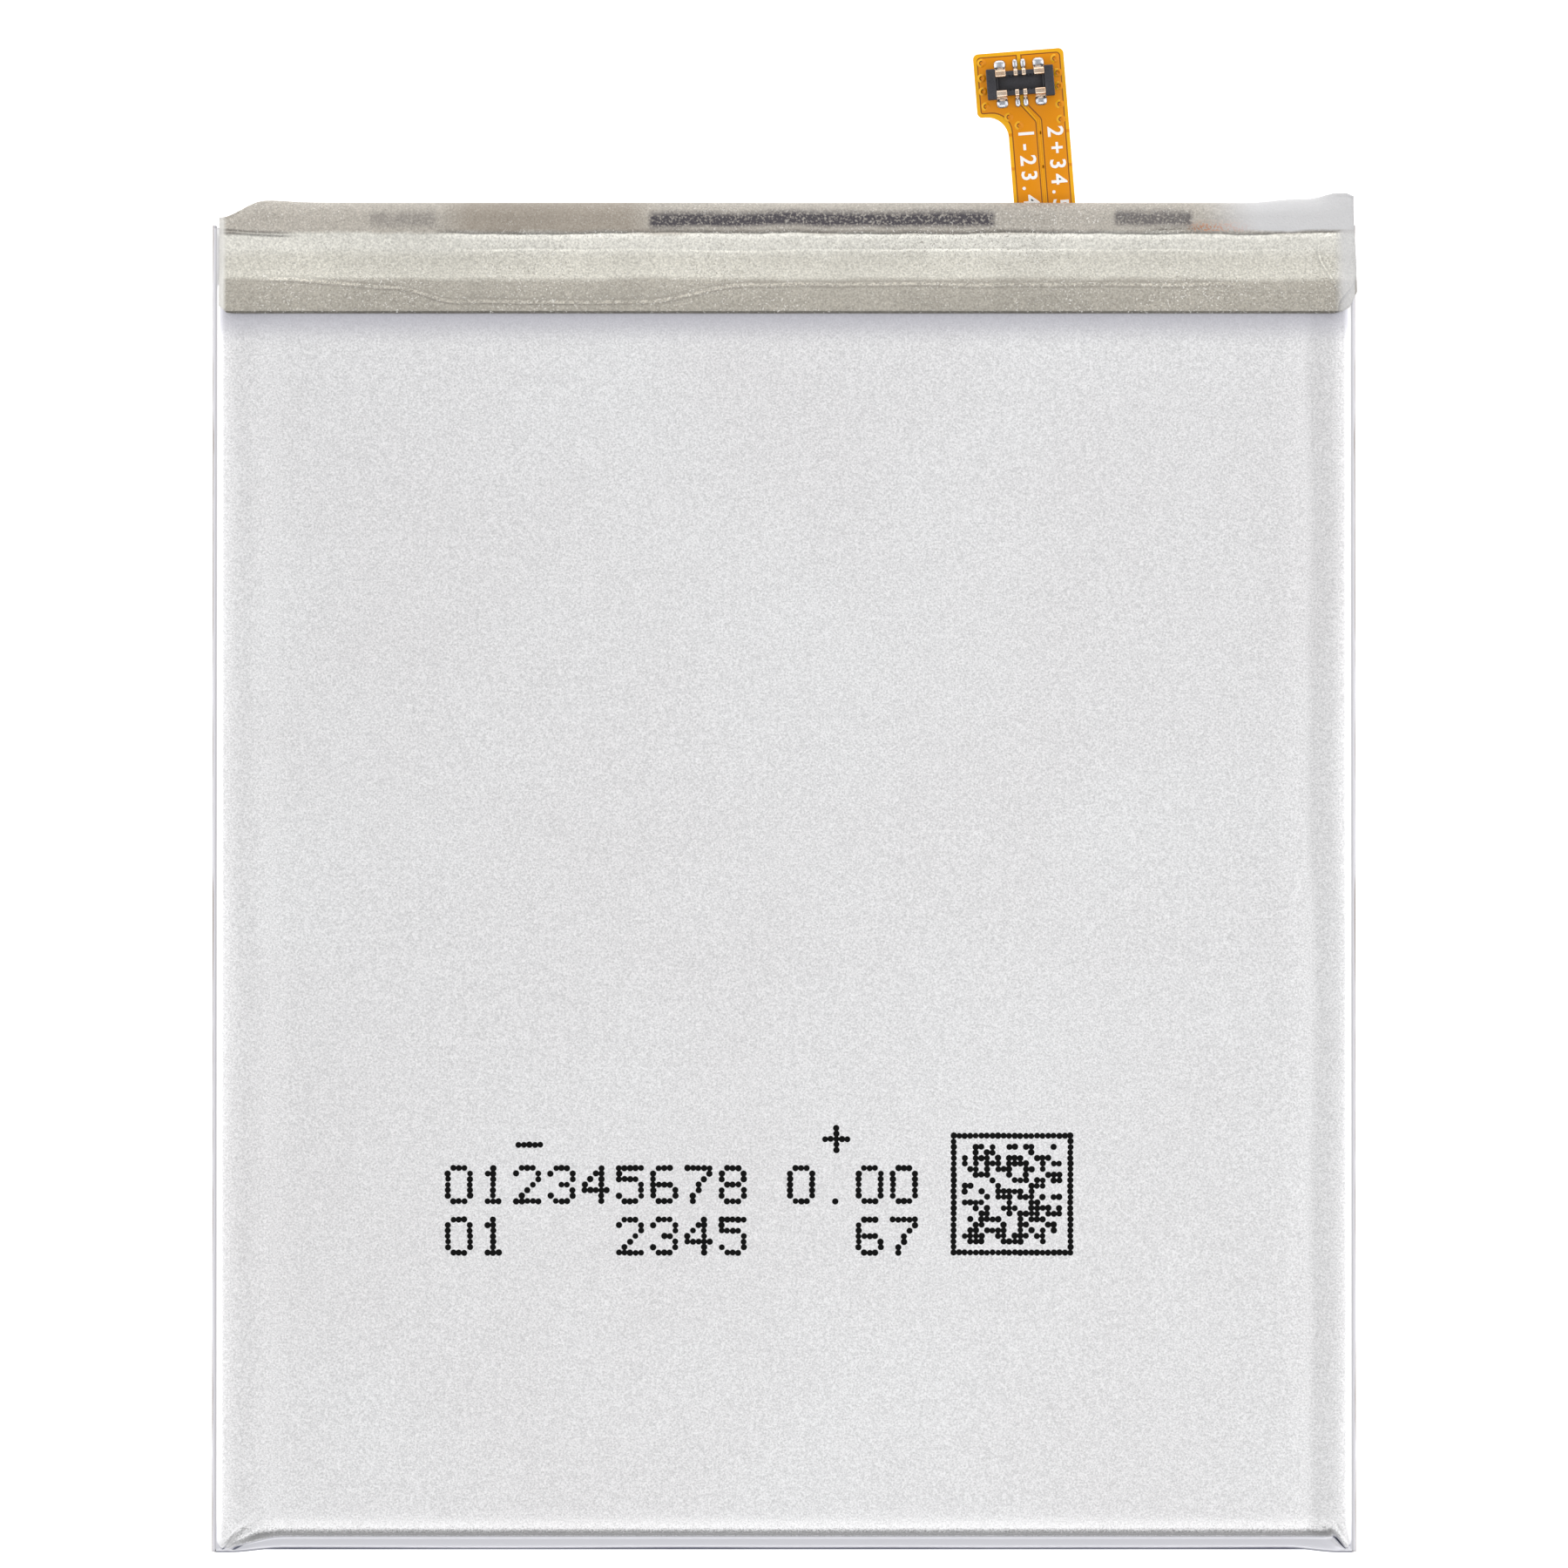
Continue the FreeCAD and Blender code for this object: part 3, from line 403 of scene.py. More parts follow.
def tapeMaterial():
    # translucent adhesive tape: matte film that takes the tone of what lies under it
    material, tree, shader = startMaterial("translucentTape", {"Roughness": 0.5, "Specular IOR Level": 0.35})
    place = addNode(tree, "TexCoord").outputs["Object"]
    measured = addNode(tree, "VectorMath", {"operation": "SCALE"}, {0: place, "Scale": 1 / mm})
    axes = addNode(tree, "SeparateXYZ", inputs={"Vector": measured})
    alongX, alongY = axes.outputs["X"], axes.outputs["Y"]
    noises = {}
    for name, (size, offset, more) in tapeLook["noises"].items():
        moved = addNode(tree, "Mapping", inputs={"Vector": place, "Location": (offset, 0, 0)})
        noises[name] = addNode(tree, "TexNoise", inputs={"Vector": moved, "Scale": 1 / (size * mm), **more})
    wander = addNode(tree, "MapRange", inputs={"Value": noises["wander"], "To Min": -0.22, "To Max": 0.22})
    wavering = addNode(tree, "Math", {"operation": "ADD"}, {0: alongY, 1: wander})

    def stretchOf(run, start, end, soft, weight=1.0):
        # full weight from start to end, with soft ends
        rise = addNode(tree, "MapRange", inputs={"Value": run, "From Min": start - soft, "From Max": start + soft,
                                                 "To Max": weight})
        fall = addNode(tree, "MapRange", inputs={"Value": run, "From Min": end - soft, "From Max": end + soft,
                                                 "To Min": 1.0, "To Max": 0.0})
        return addNode(tree, "Math", {"operation": "MULTIPLY"}, {0: rise, 1: fall})

    # each share: what it's read from, the span it runs over, and the values there
    edge, cutEdge, freeEnd = tapeLook["terraceEdgeY"], tapeLow.y, tape["rightEnd"]
    shares = {}
    for name, (value, start, end, low, high, course) in {
            "depth": (wavering, tapeLow.y, tapeHigh.y, 0.0, 1.0, "LINEAR"),
            "grainTone": (noises["fine"], 0.3, 0.7, 0.8, 1.2, "LINEAR"),
            "crinkleTone": (noises["crinkle"], 0.3, 0.7, 0.9, 1.1, "LINEAR"),
            "cloudTone": (noises["cloud"], 0.35, 0.65, 0.95, 1.05, "LINEAR"),
            "beads": (noises["fine"], 0.42, 0.56, 0.0, 1.0, "LINEAR"),
            "cutEdgeDarkening": (alongY, cutEdge + 0.035, cutEdge + 0.075, 0.42, 1.0, "LINEAR"),  # darker along the tape's lower cut edge
            "crowded": (noises["patchy"], 0.4, 0.62, 0.3, 1.0, "LINEAR"),
            "glint": (noises["glint"], 0.62, 0.72, 0.0, 0.85, "LINEAR"),
            "darkSpeck": (noises["darkSpeck"], 0.4, 0.3, 0.0, 0.75, "LINEAR"),
            "outside": (wavering, edge + 0.05, edge + 0.2, 0.0, 1.0, "LINEAR"),
            "flecks": (noises["fine"], 0.48, 0.56, 0.0, 1.0, "LINEAR"),
            "fluxReach": (alongY, 32.3, 31.9, 0.0, 1.0, "LINEAR"),
            "bandStart": (wavering, 31.84, 32.1, 0.0, 1.0, "LINEAR"),
            "bandEnd": (wavering, 32.5, 32.85, 1.0, 0.0, "LINEAR"),
            "contact": (noises["contact"], 0.5, 0.66, 1.0, 0.3, "LINEAR"),
            "bareRim": (alongX, 20.0, 23.5, 0.0, 1.0, "SMOOTHSTEP"),
            "bareEnd": (alongX, 26.9, 27.5, 0.0, 0.75, "SMOOTHSTEP"),
            # painted highlight along the left end
            "leftRimHighlight": (alongX, -27.32, -27.5, 0.0, 0.8, "LINEAR"),
            "rightRim": (alongX, freeEnd - 0.11, freeEnd - 0.05, 0.0, 0.7, "LINEAR"),
            "rightRimReach": (alongY, 29.6, 29.0, 0.0, 1.0, "LINEAR")}.items():
        shares[name] = addNode(tree, "MapRange", {"interpolation_type": course},
                               {"Value": value, "From Min": start, "From Max": end, "To Min": low, "To Max": high})

    def paintedEdgeLine(line, offset):
        # a thin wavering line of painted highlight and shadow along the tape, as a tone over the distance from it
        at, sway = line["at"], line["sway"]
        run, side = (alongY, alongX) if line.get("upright") else (alongX, alongY)
        moved = addNode(tree, "Mapping", inputs={"Vector": place, "Location": (offset, 0, 0)})
        waver = addNode(tree, "TexNoise", inputs={"Vector": moved, "Scale": 1 / (5 * mm), "Detail": 5.0,
                                                  "Roughness": 0.6})
        course = addNode(tree, "MapRange", inputs={"Value": waver, "To Min": at - sway, "To Max": at + sway})
        for start, end, rise in line["rises"]:
            step = addNode(tree, "MapRange", {"interpolation_type": "SMOOTHSTEP"},
                           {"Value": run, "From Min": start, "From Max": end, "To Max": rise})
            course = addNode(tree, "Math", {"operation": "ADD"}, {0: course, 1: step})
        away = addNode(tree, "Math", {"operation": "SUBTRACT"}, {0: side, 1: course})
        distance = addNode(tree, "MapRange", inputs={"Value": away, "From Min": -1.0})
        ramp = addNode(tree, "ValToRGB", {"stops": [((d + 1) / 2, code) for d, code in line["tones"]]},
                       {"Fac": distance})
        full = addNode(tree, "Math", {"operation": "MULTIPLY"}, {0: ramp, 1: tapeLook["toneScale"]})
        shown = addNode(tree, "MapRange", inputs={"Value": noises["patchy"], "From Min": 0.35, "From Max": 0.6,
                                                  "To Min": line["solid"]})
        for factor in [stretchOf(run, *line["span"], 0.4)] + [shares["beads"]] * line.get("beaded", False):
            shown = addNode(tree, "Math", {"operation": "MULTIPLY"}, {0: shown, 1: factor})
        return addNode(tree, "Mix", {"data_type": "FLOAT"}, {"A": 1.0, "B": full, "Factor": shown})

    stepY, length = tapeLook["stepY"], tapeHigh.y - tapeLow.y
    stops = [(stepY - 0.1, "onFace"), (stepY + 0.12, "onTerrace"), (30.4, "onTerrace"), (30.9, "onTerraceHigh"),
             (edge - 0.1, "onTerraceHigh"), (edge + 0.1, "onBoard")]
    base = addNode(tree, "ValToRGB", {"stops": [((y - tapeLow.y) / length, tapeLook[name]) for y, name in stops]},
                   {"Fac": shares["depth"]})
    paintedEdgeLines = [paintedEdgeLine(line, 0.31 * number) for number, line in enumerate(tapeLook["lines"])]
    for tone in [shares["grainTone"], shares["crinkleTone"], shares["cloudTone"], *paintedEdgeLines, shares["cutEdgeDarkening"]]:
        base = addNode(tree, "VectorMath", {"operation": "SCALE"}, {0: base, "Scale": tone})
    # what shows through: the insulation over the tab's bend, and a part at each end of the board
    dark = None
    for start, end, weight in [(stripLow.x, stripHigh.x, 0.92)] + darkParts:
        part = stretchOf(alongX, start, end, 0.12, weight)
        dark = part if dark is None else addNode(tree, "Math", {"operation": "ADD"}, {0: dark, 1: part})
    bareRim = addNode(tree, "Math", {"operation": "MULTIPLY"}, {0: shares["bareRim"], 1: shares["outside"]})
    bare = addNode(tree, "Math", {"operation": "MAXIMUM"}, {0: shares["bareEnd"], 1: bareRim})
    # each layer: its colour, and the factors that make its weight
    for look, factors in [
            ("darkSpeck", [shares["darkSpeck"], shares["crowded"]]),
            ("glint", [shares["glint"], shares["crowded"]]),
            ("tint", [stretchOf(alongX, *tapeLook["browned"], 0.8, 0.5), shares["outside"]]),
            ("rust", [stretchOf(alongX, *tapeLook["rustSpan"], 0.5, 0.95), shares["flecks"], shares["fluxReach"],
                      shares["outside"]]),
            ("through", [shares["bandStart"], shares["bandEnd"], dark, shares["contact"]]),
            ("clear", [bare, 0.9]),
            ("leftRimHighlight", [shares["leftRimHighlight"]]),
            ("darkSpeck", [shares["rightRim"], shares["rightRimReach"]])]:
        weight = factors[0]
        for factor in factors[1:]:
            weight = addNode(tree, "Math", {"operation": "MULTIPLY"}, {0: weight, 1: factor})
        base = addNode(tree, "Mix", {"data_type": "RGBA"}, {"A": base, "B": hexColor(tapeLook[look]),
                                                            "Factor": weight})
    tree.links.new(base.outputs["Result"], shader.inputs["Base Color"])
    # adhesive bubbles and pulled wrinkles, too fine for the mesh
    both = addNode(tree, "Mix", {"data_type": "FLOAT"}, {"Factor": 0.35, "A": noises["crinkle"], "B": noises["fine"]})
    bump = addNode(tree, "Bump", inputs={"Height": both, "Strength": 0.9, "Distance": 0.05 * mm})
    tree.links.new(bump.outputs["Normal"], shader.inputs["Normal"])
    return material


mosfetLow = boxOf("mosfets")[0]
darkParts = [(16.2, 20.0, 0.7), (mosfetLow.x, mosfetLow.x + 3.2, 0.3)]

looks = {
    "laminate": laminateMaterial(),
    "tape": tapeMaterial(),
    # polyimide coverlay over copper: deep amber, smooth and a little glossy
    "amberOverCopper": plainMaterial("polyimideOverCopper", ("d98300", "e69505"), 0.35, grain=0.1, bumpHeight=0.003,
                                     mapName="flexMap", **{"Specular IOR Level": 0.25}),
    # polyimide with no copper behind: lighter and yellower
    "amberFilm": plainMaterial("polyimideFilm", ("eaa60a", "f3b71c"), 0.32, grain=0.1, bumpHeight=0.003,
                               mapName="flexMap", **{"Specular IOR Level": 0.3}),
    # painted shade: the coverlay's slopes down beside the copper get a dark tone
    "amberSlopeShade": plainMaterial("polyimideSlopeShade", ("6f3a02", "985607"), 0.4, grain=0.08, bumpHeight=0.003,
                                mapName="flexMap", **{"Specular IOR Level": 0.3}),
    # screen-printed legend: chalky white epoxy ink
    "legendInk": plainMaterial("whiteLegendInk", ("eeeeec", "fafaf8"), 0.6, grain=0.06, bumpHeight=0.004,
                               mapName="flexMap"),
    # inkjet dots: solvent black, flat
    "jetInk": plainMaterial("blackJetInk", ("030303", "0d0d0d"), 0.75, grain=0.06, bumpHeight=0.002,
                            **{"Specular IOR Level": 0.12}),
    # liquid crystal polymer: dense black moulding with fine flow grain
    "plugPlastic": plainMaterial("liquidCrystalPolymer", ("222225", "3b3a40"), 0.45, grain=0.07, bumpHeight=0.006),
    # gold plated over stamped copper: warm pale metal that mirrors the softboxes
    "gold": plainMaterial("goldPlatedCopper", ("e6bb94", "fbeedd"), 0.2, metallic=1.0, grain=0.05,
                          bumpHeight=0.003),
    # reflowed tin: bright grey metal with a slightly rippled skin
    "solder": plainMaterial("tinSolder", ("b9bcc2", "dfe1e6"), 0.22, metallic=1.0, grain=0.12, bumpHeight=0.02),
    # rolled steel: grey metal, its reflections drawn out along the rolling
    "steel": plainMaterial("rolledSteel", ("a9aaad", "bcbdc0"), 0.35, metallic=1.0, grain=0.08, bumpHeight=0.002,
                           stretch=(1, 0.08, 1)),
    # matt black printed film: dull charcoal, soft broad highlights
    "labelFilm": plainMaterial("matteBlackLabelFilm", ("25262a", "303136"), 0.55, grain=0.18, bumpHeight=0.006),
    # polypropylene fused in the seal: milky white, waxy
    "polypropylene": plainMaterial("fusedPolypropylene", ("cfd0cd", "dcdcda"), 0.45, grain=0.2, bumpHeight=0.004),
    # stretched porous polyolefin: paper white, flat
    "separator": plainMaterial("porousSeparator", ("e8e8e6", "f2f2f0"), 0.7, grain=0.1),
    # pressed oxide powder: near black, no shine
    "cathode": plainMaterial("cathodeCoating", ("191a1c", "232427"), 0.8, grain=0.08),
    # pressed graphite powder: dark grey, no shine
    "anode": plainMaterial("graphiteCoating", ("26272b", "33343a"), 0.7, grain=0.08),
    # adhesive tape on the winding's end: flat green film, a little glossy
    "greenTape": plainMaterial("greenClosingTape", ("2f7a45", "3c8b53"), 0.4, grain=0.2),
    # rolled aluminium foil: bright metal, drawn out along the rolling
    "aluminium": plainMaterial("rolledAluminium", ("c9cace", "d6d7da"), 0.32, metallic=1.0, grain=0.08,
                               stretch=(1, 0.08, 1)),
    # rolled nickel strip: warmer and darker than aluminium
    "nickel": plainMaterial("nickelStrip", ("b5b0a6", "c3beb4"), 0.3, metallic=1.0, grain=0.08,
                            stretch=(1, 0.08, 1)),
    # polypropylene sleeve on a tab: cream, waxy
    "sealant": plainMaterial("tabSealant", ("d4cfc0", "e0dccf"), 0.4, grain=0.2),
    # black polyimide: smooth, dark, half matt
    "blackFilm": plainMaterial("blackPolyimide", ("17171a", "222226"), 0.45, grain=0.1),
    # solder mask on glass epoxy: dark green, glossy, with the weave faintly in it
    "boardGreen": plainMaterial("solderMaskOnGlassEpoxy", ("124a2c", "1a5a38"), 0.3, grain=0.25, bumpHeight=0.006),
    # moulded epoxy of a chip's body: charcoal, finely pitted
    "epoxy": plainMaterial("mouldedEpoxy", ("1d1d1f", "29292c"), 0.6, grain=0.06, bumpHeight=0.006),
    # fired ceramic of a capacitor or resistor: tan, half matt
    "chipCeramic": plainMaterial("firedCeramic", ("8a6a48", "9a7a56"), 0.45, grain=0.06),
    # insulating paper: cream, fibrous, no shine
    "paper": plainMaterial("insulatingPaper", ("d9d3ba", "e4dfc9"), 0.85, grain=0.15),
}
print("materials made")


# camera and light

shot = {
    "distance": 1100,     # from the face to the lens
    "lean": 1.6,          # degrees off straight down, towards the bottom fold
    "aimY": 4.6,
    "frameWidth": 76.76,  # what the picture is wide at the face
    "sensor": 36,
    "floorSize": 900,
    "floorGlow": 0.62,
    # each softbox in metres and watts: place, size and power
    "lamps": {"leftSoftbox": ((-0.35, 0.05, 0.2), (0.3, 0.5), 0.38),
              "rightSoftbox": ((0.35, 0.05, 0.2), (0.3, 0.5), 0.42),
              "tailSoftbox": ((0.0, 0.38, 0.16), (0.5, 0.2), 0.3),
              "footSoftbox": ((0.0, -0.26, 0.4), (0.5, 0.12), 0.42)},
}


def addCamera():
    lens = bpy.data.cameras.new("studioCamera")
    lens.sensor_width = shot["sensor"]
    lens.lens = shot["sensor"] * shot["distance"] / shot["frameWidth"]
    lens.clip_start, lens.clip_end = 0.05, 20
    camera = bpy.data.objects.new("studioCamera", lens)
    lean = math.radians(shot["lean"])
    aim = Vector((0, shot["aimY"], coverHigh.z))
    camera.location = (aim + Vector((0, -math.sin(lean), math.cos(lean))) * shot["distance"]) * mm
    camera.rotation_euler = (lean, 0, 0)
    scene.collection.objects.link(camera)
    scene.camera = camera


def addArea(name, location, size, power):
    data = bpy.data.lights.new(name, "AREA")
    data.shape = "RECTANGLE"
    data.size, data.size_y = size
    data.energy = power
    lamp = bpy.data.objects.new(name, data)
    lamp.location = location
    lamp.rotation_euler = (-Vector(location)).to_track_quat("-Z", "Y").to_euler()  # aimed at the origin
    scene.collection.objects.link(lamp)


def addStage():
    bm = bmesh.new()
    bmesh.ops.create_grid(bm, x_segments=2, y_segments=2, size=shot["floorSize"])
    material, tree, shader = startMaterial("paleFloorBoard", {"Base Color": hexColor("f4f4f5"), "Roughness": 0.9,
                                                              "Emission Color": hexColor("ffffff"),
                                                              "Emission Strength": shot["floorGlow"]})
    floor = finishMesh("studioFloor", bm, [material])
    world = bpy.data.worlds.new("studioWorld")
    world.use_nodes = True
    tree = world.node_tree
    coords = addNode(tree, "TexCoord")
    axes = addNode(tree, "SeparateXYZ", inputs={"Vector": coords.outputs["Generated"]})
    level = addNode(tree, "MapRange",
                    inputs={"Value": axes.outputs["Z"], "From Min": 0.1, "From Max": 0.95, "To Min": 1.15,
                            "To Max": 0.56})
    # a dark card low behind the bottom fold, so that its groove reads
    card = addNode(tree, "MapRange", {"interpolation_type": "SMOOTHSTEP"},
                   {"Value": axes.outputs["Y"], "From Min": -0.8, "From Max": -0.3, "To Min": 0.08, "To Max": 1.0})
    above = addNode(tree, "MapRange", {"interpolation_type": "SMOOTHSTEP"},
                    {"Value": axes.outputs["Z"], "From Min": 0.35, "From Max": 0.6})
    clearSky = addNode(tree, "Math", {"operation": "MAXIMUM"}, {0: card, 1: above})
    lit = addNode(tree, "Math", {"operation": "MULTIPLY"}, {0: level, 1: clearSky})
    tree.links.new(lit.outputs["Value"], tree.nodes["Background"].inputs["Strength"])
    tree.nodes["Background"].inputs["Color"].default_value = hexColor("fdfdff")
    scene.world = world


def addStudio():
    addCamera()
    addStage()
    for name, (location, size, power) in shot["lamps"].items():
        addArea(name, location, size, power)
    scene.view_settings.view_transform = "Standard"


addStudio()
print("studio set")


# pouch

cover = {
    "sideReach": (0.3, 1.4),  # how far in from the seam the side shoulders' steep part and whole curve go
    "footReach": (0.42, 1.25),
    "steepShare": 0.57,      # the steep part makes this much of the height
    "sideFlange": 0.03,
    "lipRadius": 0.15,       # outside of the bottom fold
    "lipWidth": 0.62,        # seam to the bottom fold
    "terrace": 2.55,
    "cornerRadius": 0.45,
    "ledge": 0.055,          # the film lies this much lower outside the winding's flat part
    "ledgeFrom": 1.75,       # from the seam, in mm
    "ledgeTo": 2.55,
    "earReach": {-1: 3.3, 1: 0.9},  # the shoulder runs out to each bottom corner over this length
    "lipSag": 0.19,          # the bottom fold lies this much further in between its corners
    "lipWave": 0.035,
    "filmThickness": 0.12,
    "skirtBottom": 2.28,
    "shortSkirtBottom": 4.18,
    "shortSkirtFrom": 29.25,
    "columns": 96,
    "rows": 104,
    # creases out to the ears: offset from the ear's own line, height and width
    "creases": {-1: ((0.1, 0.07, 0.1), (0.36, -0.13, 0.09), (0.62, 0.07, 0.12), (0.95, -0.06, 0.12)),
                1: ((-0.2, -0.09, 0.08), (0.02, 0.09, 0.08), (0.26, -0.1, 0.08), (0.5, 0.06, 0.09))},
}
seamSteps = [0, 0.25, 0.5, 0.75, 1]
shoulderSteps = [0.03, 0.08, 0.14, 0.21, 0.29, 0.38, 0.48, 0.6, 0.73, 0.87, 1.05, 1.3, 1.6, 2.0, 2.4, 2.8, 3.3, 4.0]

def flangeInsets(width):
    return [width * t for t in seamSteps] + [width + d for d in shoulderSteps]


def lineAt(index, count, low, high, insetsLow, insetsHigh):
    # where grid line number index lies between two sides that each have their own insets
    rings = len(insetsLow)
    if index < rings:
        return low + insetsLow[index]
    if index > count - rings:
        return high - insetsHigh[count - index]
    first, last = low + insetsLow[-1], high - insetsHigh[-1]
    return first + (last - first) * (index - rings + 1) / (count - 2 * rings + 2)


def ringGrid(bm, low, high, insets, columns, rows, radiusAt, heightAt):
    # a grid whose outer lines are rounded rings that follow the outline
    left, right, bottom, top = insets
    bmesh.ops.create_grid(bm, x_segments=columns, y_segments=rows, size=1)
    for vert in bm.verts:
        i = round((vert.co.x + 1) / 2 * columns)
        j = round((vert.co.y + 1) / 2 * rows)
        ring = min(i, columns - i, j, rows - j)
        x = lineAt(i, columns, low[0], high[0], left, right)
        y = lineAt(j, rows, low[1], high[1], bottom, top)
        signX, signY = (-1 if i < columns / 2 else 1), (-1 if j < rows / 2 else 1)
        cornerX = lineAt(ring if signX < 0 else columns - ring, columns, low[0], high[0], left, right)
        cornerY = lineAt(ring if signY < 0 else rows - ring, rows, low[1], high[1], bottom, top)
        radius = radiusAt(ring)
        runX, runY = abs(x - cornerX), abs(y - cornerY)
        if ring < len(left) and radius > 0 and runX < radius and runY < radius:
            swing = math.radians(45) * (1 + (runX - runY) / radius)
            x = cornerX - signX * radius * (1 - math.cos(swing))
            y = cornerY - signY * radius * (1 - math.sin(swing))
        vert.co = (x, y, heightAt(ring, x, y))


def coverRadius(ring):
    if ring == 0:
        return 0
    if ring < len(seamSteps):
        return 0.2 + (cover["cornerRadius"] - 0.2) * seamSteps[ring]
    return max(cover["cornerRadius"] - shoulderSteps[min(ring - len(seamSteps), len(shoulderSteps) - 1)], 0.25)


def faceDip(depth, x, y):
    # how far the face lies below its highest plane, depth mm in from the seam
    shift = 0.25 * wave((0, y, 0), 14.0, 12) + (0.5 if x < 0 else 0)
    sag = cover["ledge"] * (1 - smoothStep(cover["ledgeFrom"] + shift, cover["ledgeTo"] + shift * 1.6, depth))
    ripple = 0.01 * (1 + wave((x, y, 0), 7.0, 1)) + 0.003 * (1 + wave((x, y, 0), 2.0, 2))
    return sag + ripple


def pullToEars(bm):
    # the shoulder and its seam are drawn out to the ear of each bottom corner, and the lip narrows towards it
    foldY, width = coverLow.y + cover["lipRadius"], cover["lipWidth"]
    for vert in bm.verts:
        x, y, z = vert.co
        reach = cover["earReach"][1 if x > 0 else -1]
        pull = smoothStep(bodyHalf - reach, bodyHalf - 0.25, abs(x))
        low = 1 - smoothStep(foldY, foldY + width, y)
        if foldY < y < foldY + width:
            y = foldY + (y - foldY) * (1 - 0.95 * pull)
        elif y >= foldY + width:
            y -= 0.95 * width * pull * (1 - smoothStep(foldY + width, foldY + width + 2.6, y))
        inward = cover["lipSag"] + cover["lipWave"] * wave((x, 0, 0), 9.0, 14)
        y += inward * (1 - smoothStep(bodyHalf - 3.2, bodyHalf - 0.6, abs(x))) * low
        vert.co.y = y


def pinch(bm):
    # creases that run from the shoulder's corner out to each ear
    for vert in bm.verts:
        x, y, z = vert.co
        if y > coverLow.y + 4 or abs(x) < bodyHalf - 4 or abs(x) > bodyHalf or z < seamZ - 0.001:
            continue
        sign = 1 if x > 0 else -1
        tipX, tipY = sign * (bodyHalf - 0.1), coverLow.y + 0.12
        alongX, alongY = 0.57, 0.82
        outX = (tipX - x) * sign
        run = outX * alongX + (y - tipY) * alongY
        side = outX * alongY - (y - tipY) * alongX
        fade = smoothStep(-0.1, 0.5, run) * (1 - smoothStep(1.1, 2.6, run))
        for offset, tall, width in cover["creases"][sign]:
            spread = width * (0.6 + 0.5 * max(run, 0))
            z += tall * fade * math.exp(-((side - offset * (0.4 + 0.5 * run)) / spread) ** 2)
        vert.co.z = min(z, coverHigh.z)


def shoulderRun(distance, reach):
    return 1 - min(max(distance / reach, 0), 1)


def coverHeight(ring, x, y):
    if ring < len(seamSteps):
        return seamZ
    depth = bodyHalf - cover["sideFlange"] - abs(x)
    up = y - (coverLow.y + cover["lipRadius"] + cover["lipWidth"])
    down = coverHigh.y - cover["terrace"] - y
    rise = 0
    for part, share in ((0, cover["steepShare"]), (1, 1 - cover["steepShare"])):
        short = math.hypot(shoulderRun(depth, cover["sideReach"][part]),
                           max(shoulderRun(up, cover["footReach"][part]), shoulderRun(down, cover["sideReach"][part])))
        rise += share * (1 - min(short, 1) ** 2)
    z = seamZ + (panDepth - faceDip(depth, x, y)) * rise
    return min(z, coverHigh.z)


def edgesWhere(bm, test):
    return [edge for edge in bm.edges if edge.is_boundary and all(test(vert.co) for vert in edge.verts)]


def spinEdges(bm, edges, centre, axis, angle, steps):
    made = bmesh.ops.spin(bm, geom=edges, cent=centre, axis=axis, angle=angle, steps=steps, use_merge=False,
                          use_duplicate=False)
    return [item for item in made["geom_last"] if isinstance(item, bmesh.types.BMEdge)]


def pullEdges(bm, edges, move):
    made = bmesh.ops.extrude_edge_only(bm, edges=edges)["geom"]
    verts = [item for item in made if isinstance(item, bmesh.types.BMVert)]
    bmesh.ops.translate(bm, vec=move, verts=verts)
    return [item for item in made if isinstance(item, bmesh.types.BMEdge)]


def coverPiece():
    bm = bmesh.new()
    low = (-bodyHalf, coverLow.y + cover["lipRadius"])
    high = (bodyHalf, coverHigh.y)
    insets = [flangeInsets(cover["sideFlange"])] * 2 + [flangeInsets(cover["lipWidth"]),
                                                        flangeInsets(cover["terrace"])]
    ringGrid(bm, low, high, insets, cover["columns"], cover["rows"], coverRadius, coverHeight)
    outer = foldRadius
    for sign in (-1, 1):
        edges = edgesWhere(bm, lambda co: abs(co.x - sign * bodyHalf) < 0.01)
        folded = spinEdges(bm, edges, (sign * bodyHalf, 0, seamZ - outer), (0, 1, 0), sign * math.pi / 2, 7)
        drop = (cover["skirtBottom"] - (seamZ - outer)) / 8
        for _ in range(8):
            folded = pullEdges(bm, folded, (0, 0, drop))
    lip = edgesWhere(bm, lambda co: co.y < low[1] + 0.2 and co.z > seamZ - 0.05 and abs(co.x) < bodyHalf + 0.01)
    spinEdges(bm, lip, (0, low[1], seamZ - cover["lipRadius"]), (1, 0, 0), math.pi, 8)
    pullToEars(bm)
    pinch(bm)
    spare = [face for face in bm.faces if face.calc_center_median().y > cover["shortSkirtFrom"]
             and face.calc_center_median().z < cover["shortSkirtBottom"]]
    bmesh.ops.delete(bm, geom=spare, context="FACES")
    for vert in bm.verts:
        if abs(vert.co.x) > coverHigh.x - 0.05 and vert.co.z < seamZ - 0.4:  # the folded seal isn't pressed dead flat
            vert.co.x -= math.copysign(0.02 * (1 + wave((0, vert.co.y, vert.co.z), 5.0, 3)), vert.co.x)
    bmesh.ops.recalc_face_normals(bm, faces=bm.faces)
    if max(bm.faces, key=lambda face: face.calc_area()).normal.z < 0:
        bmesh.ops.reverse_faces(bm, faces=bm.faces)
    piece = finishMesh("frontLaminate", bm, [looks["laminate"]], smoothAngle=70)
    addSolidify(piece, cover["filmThickness"])
    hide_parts("pouch_cover")
    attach(piece, "pack")


coverPiece()
print("pouch made")


# wrapping tape

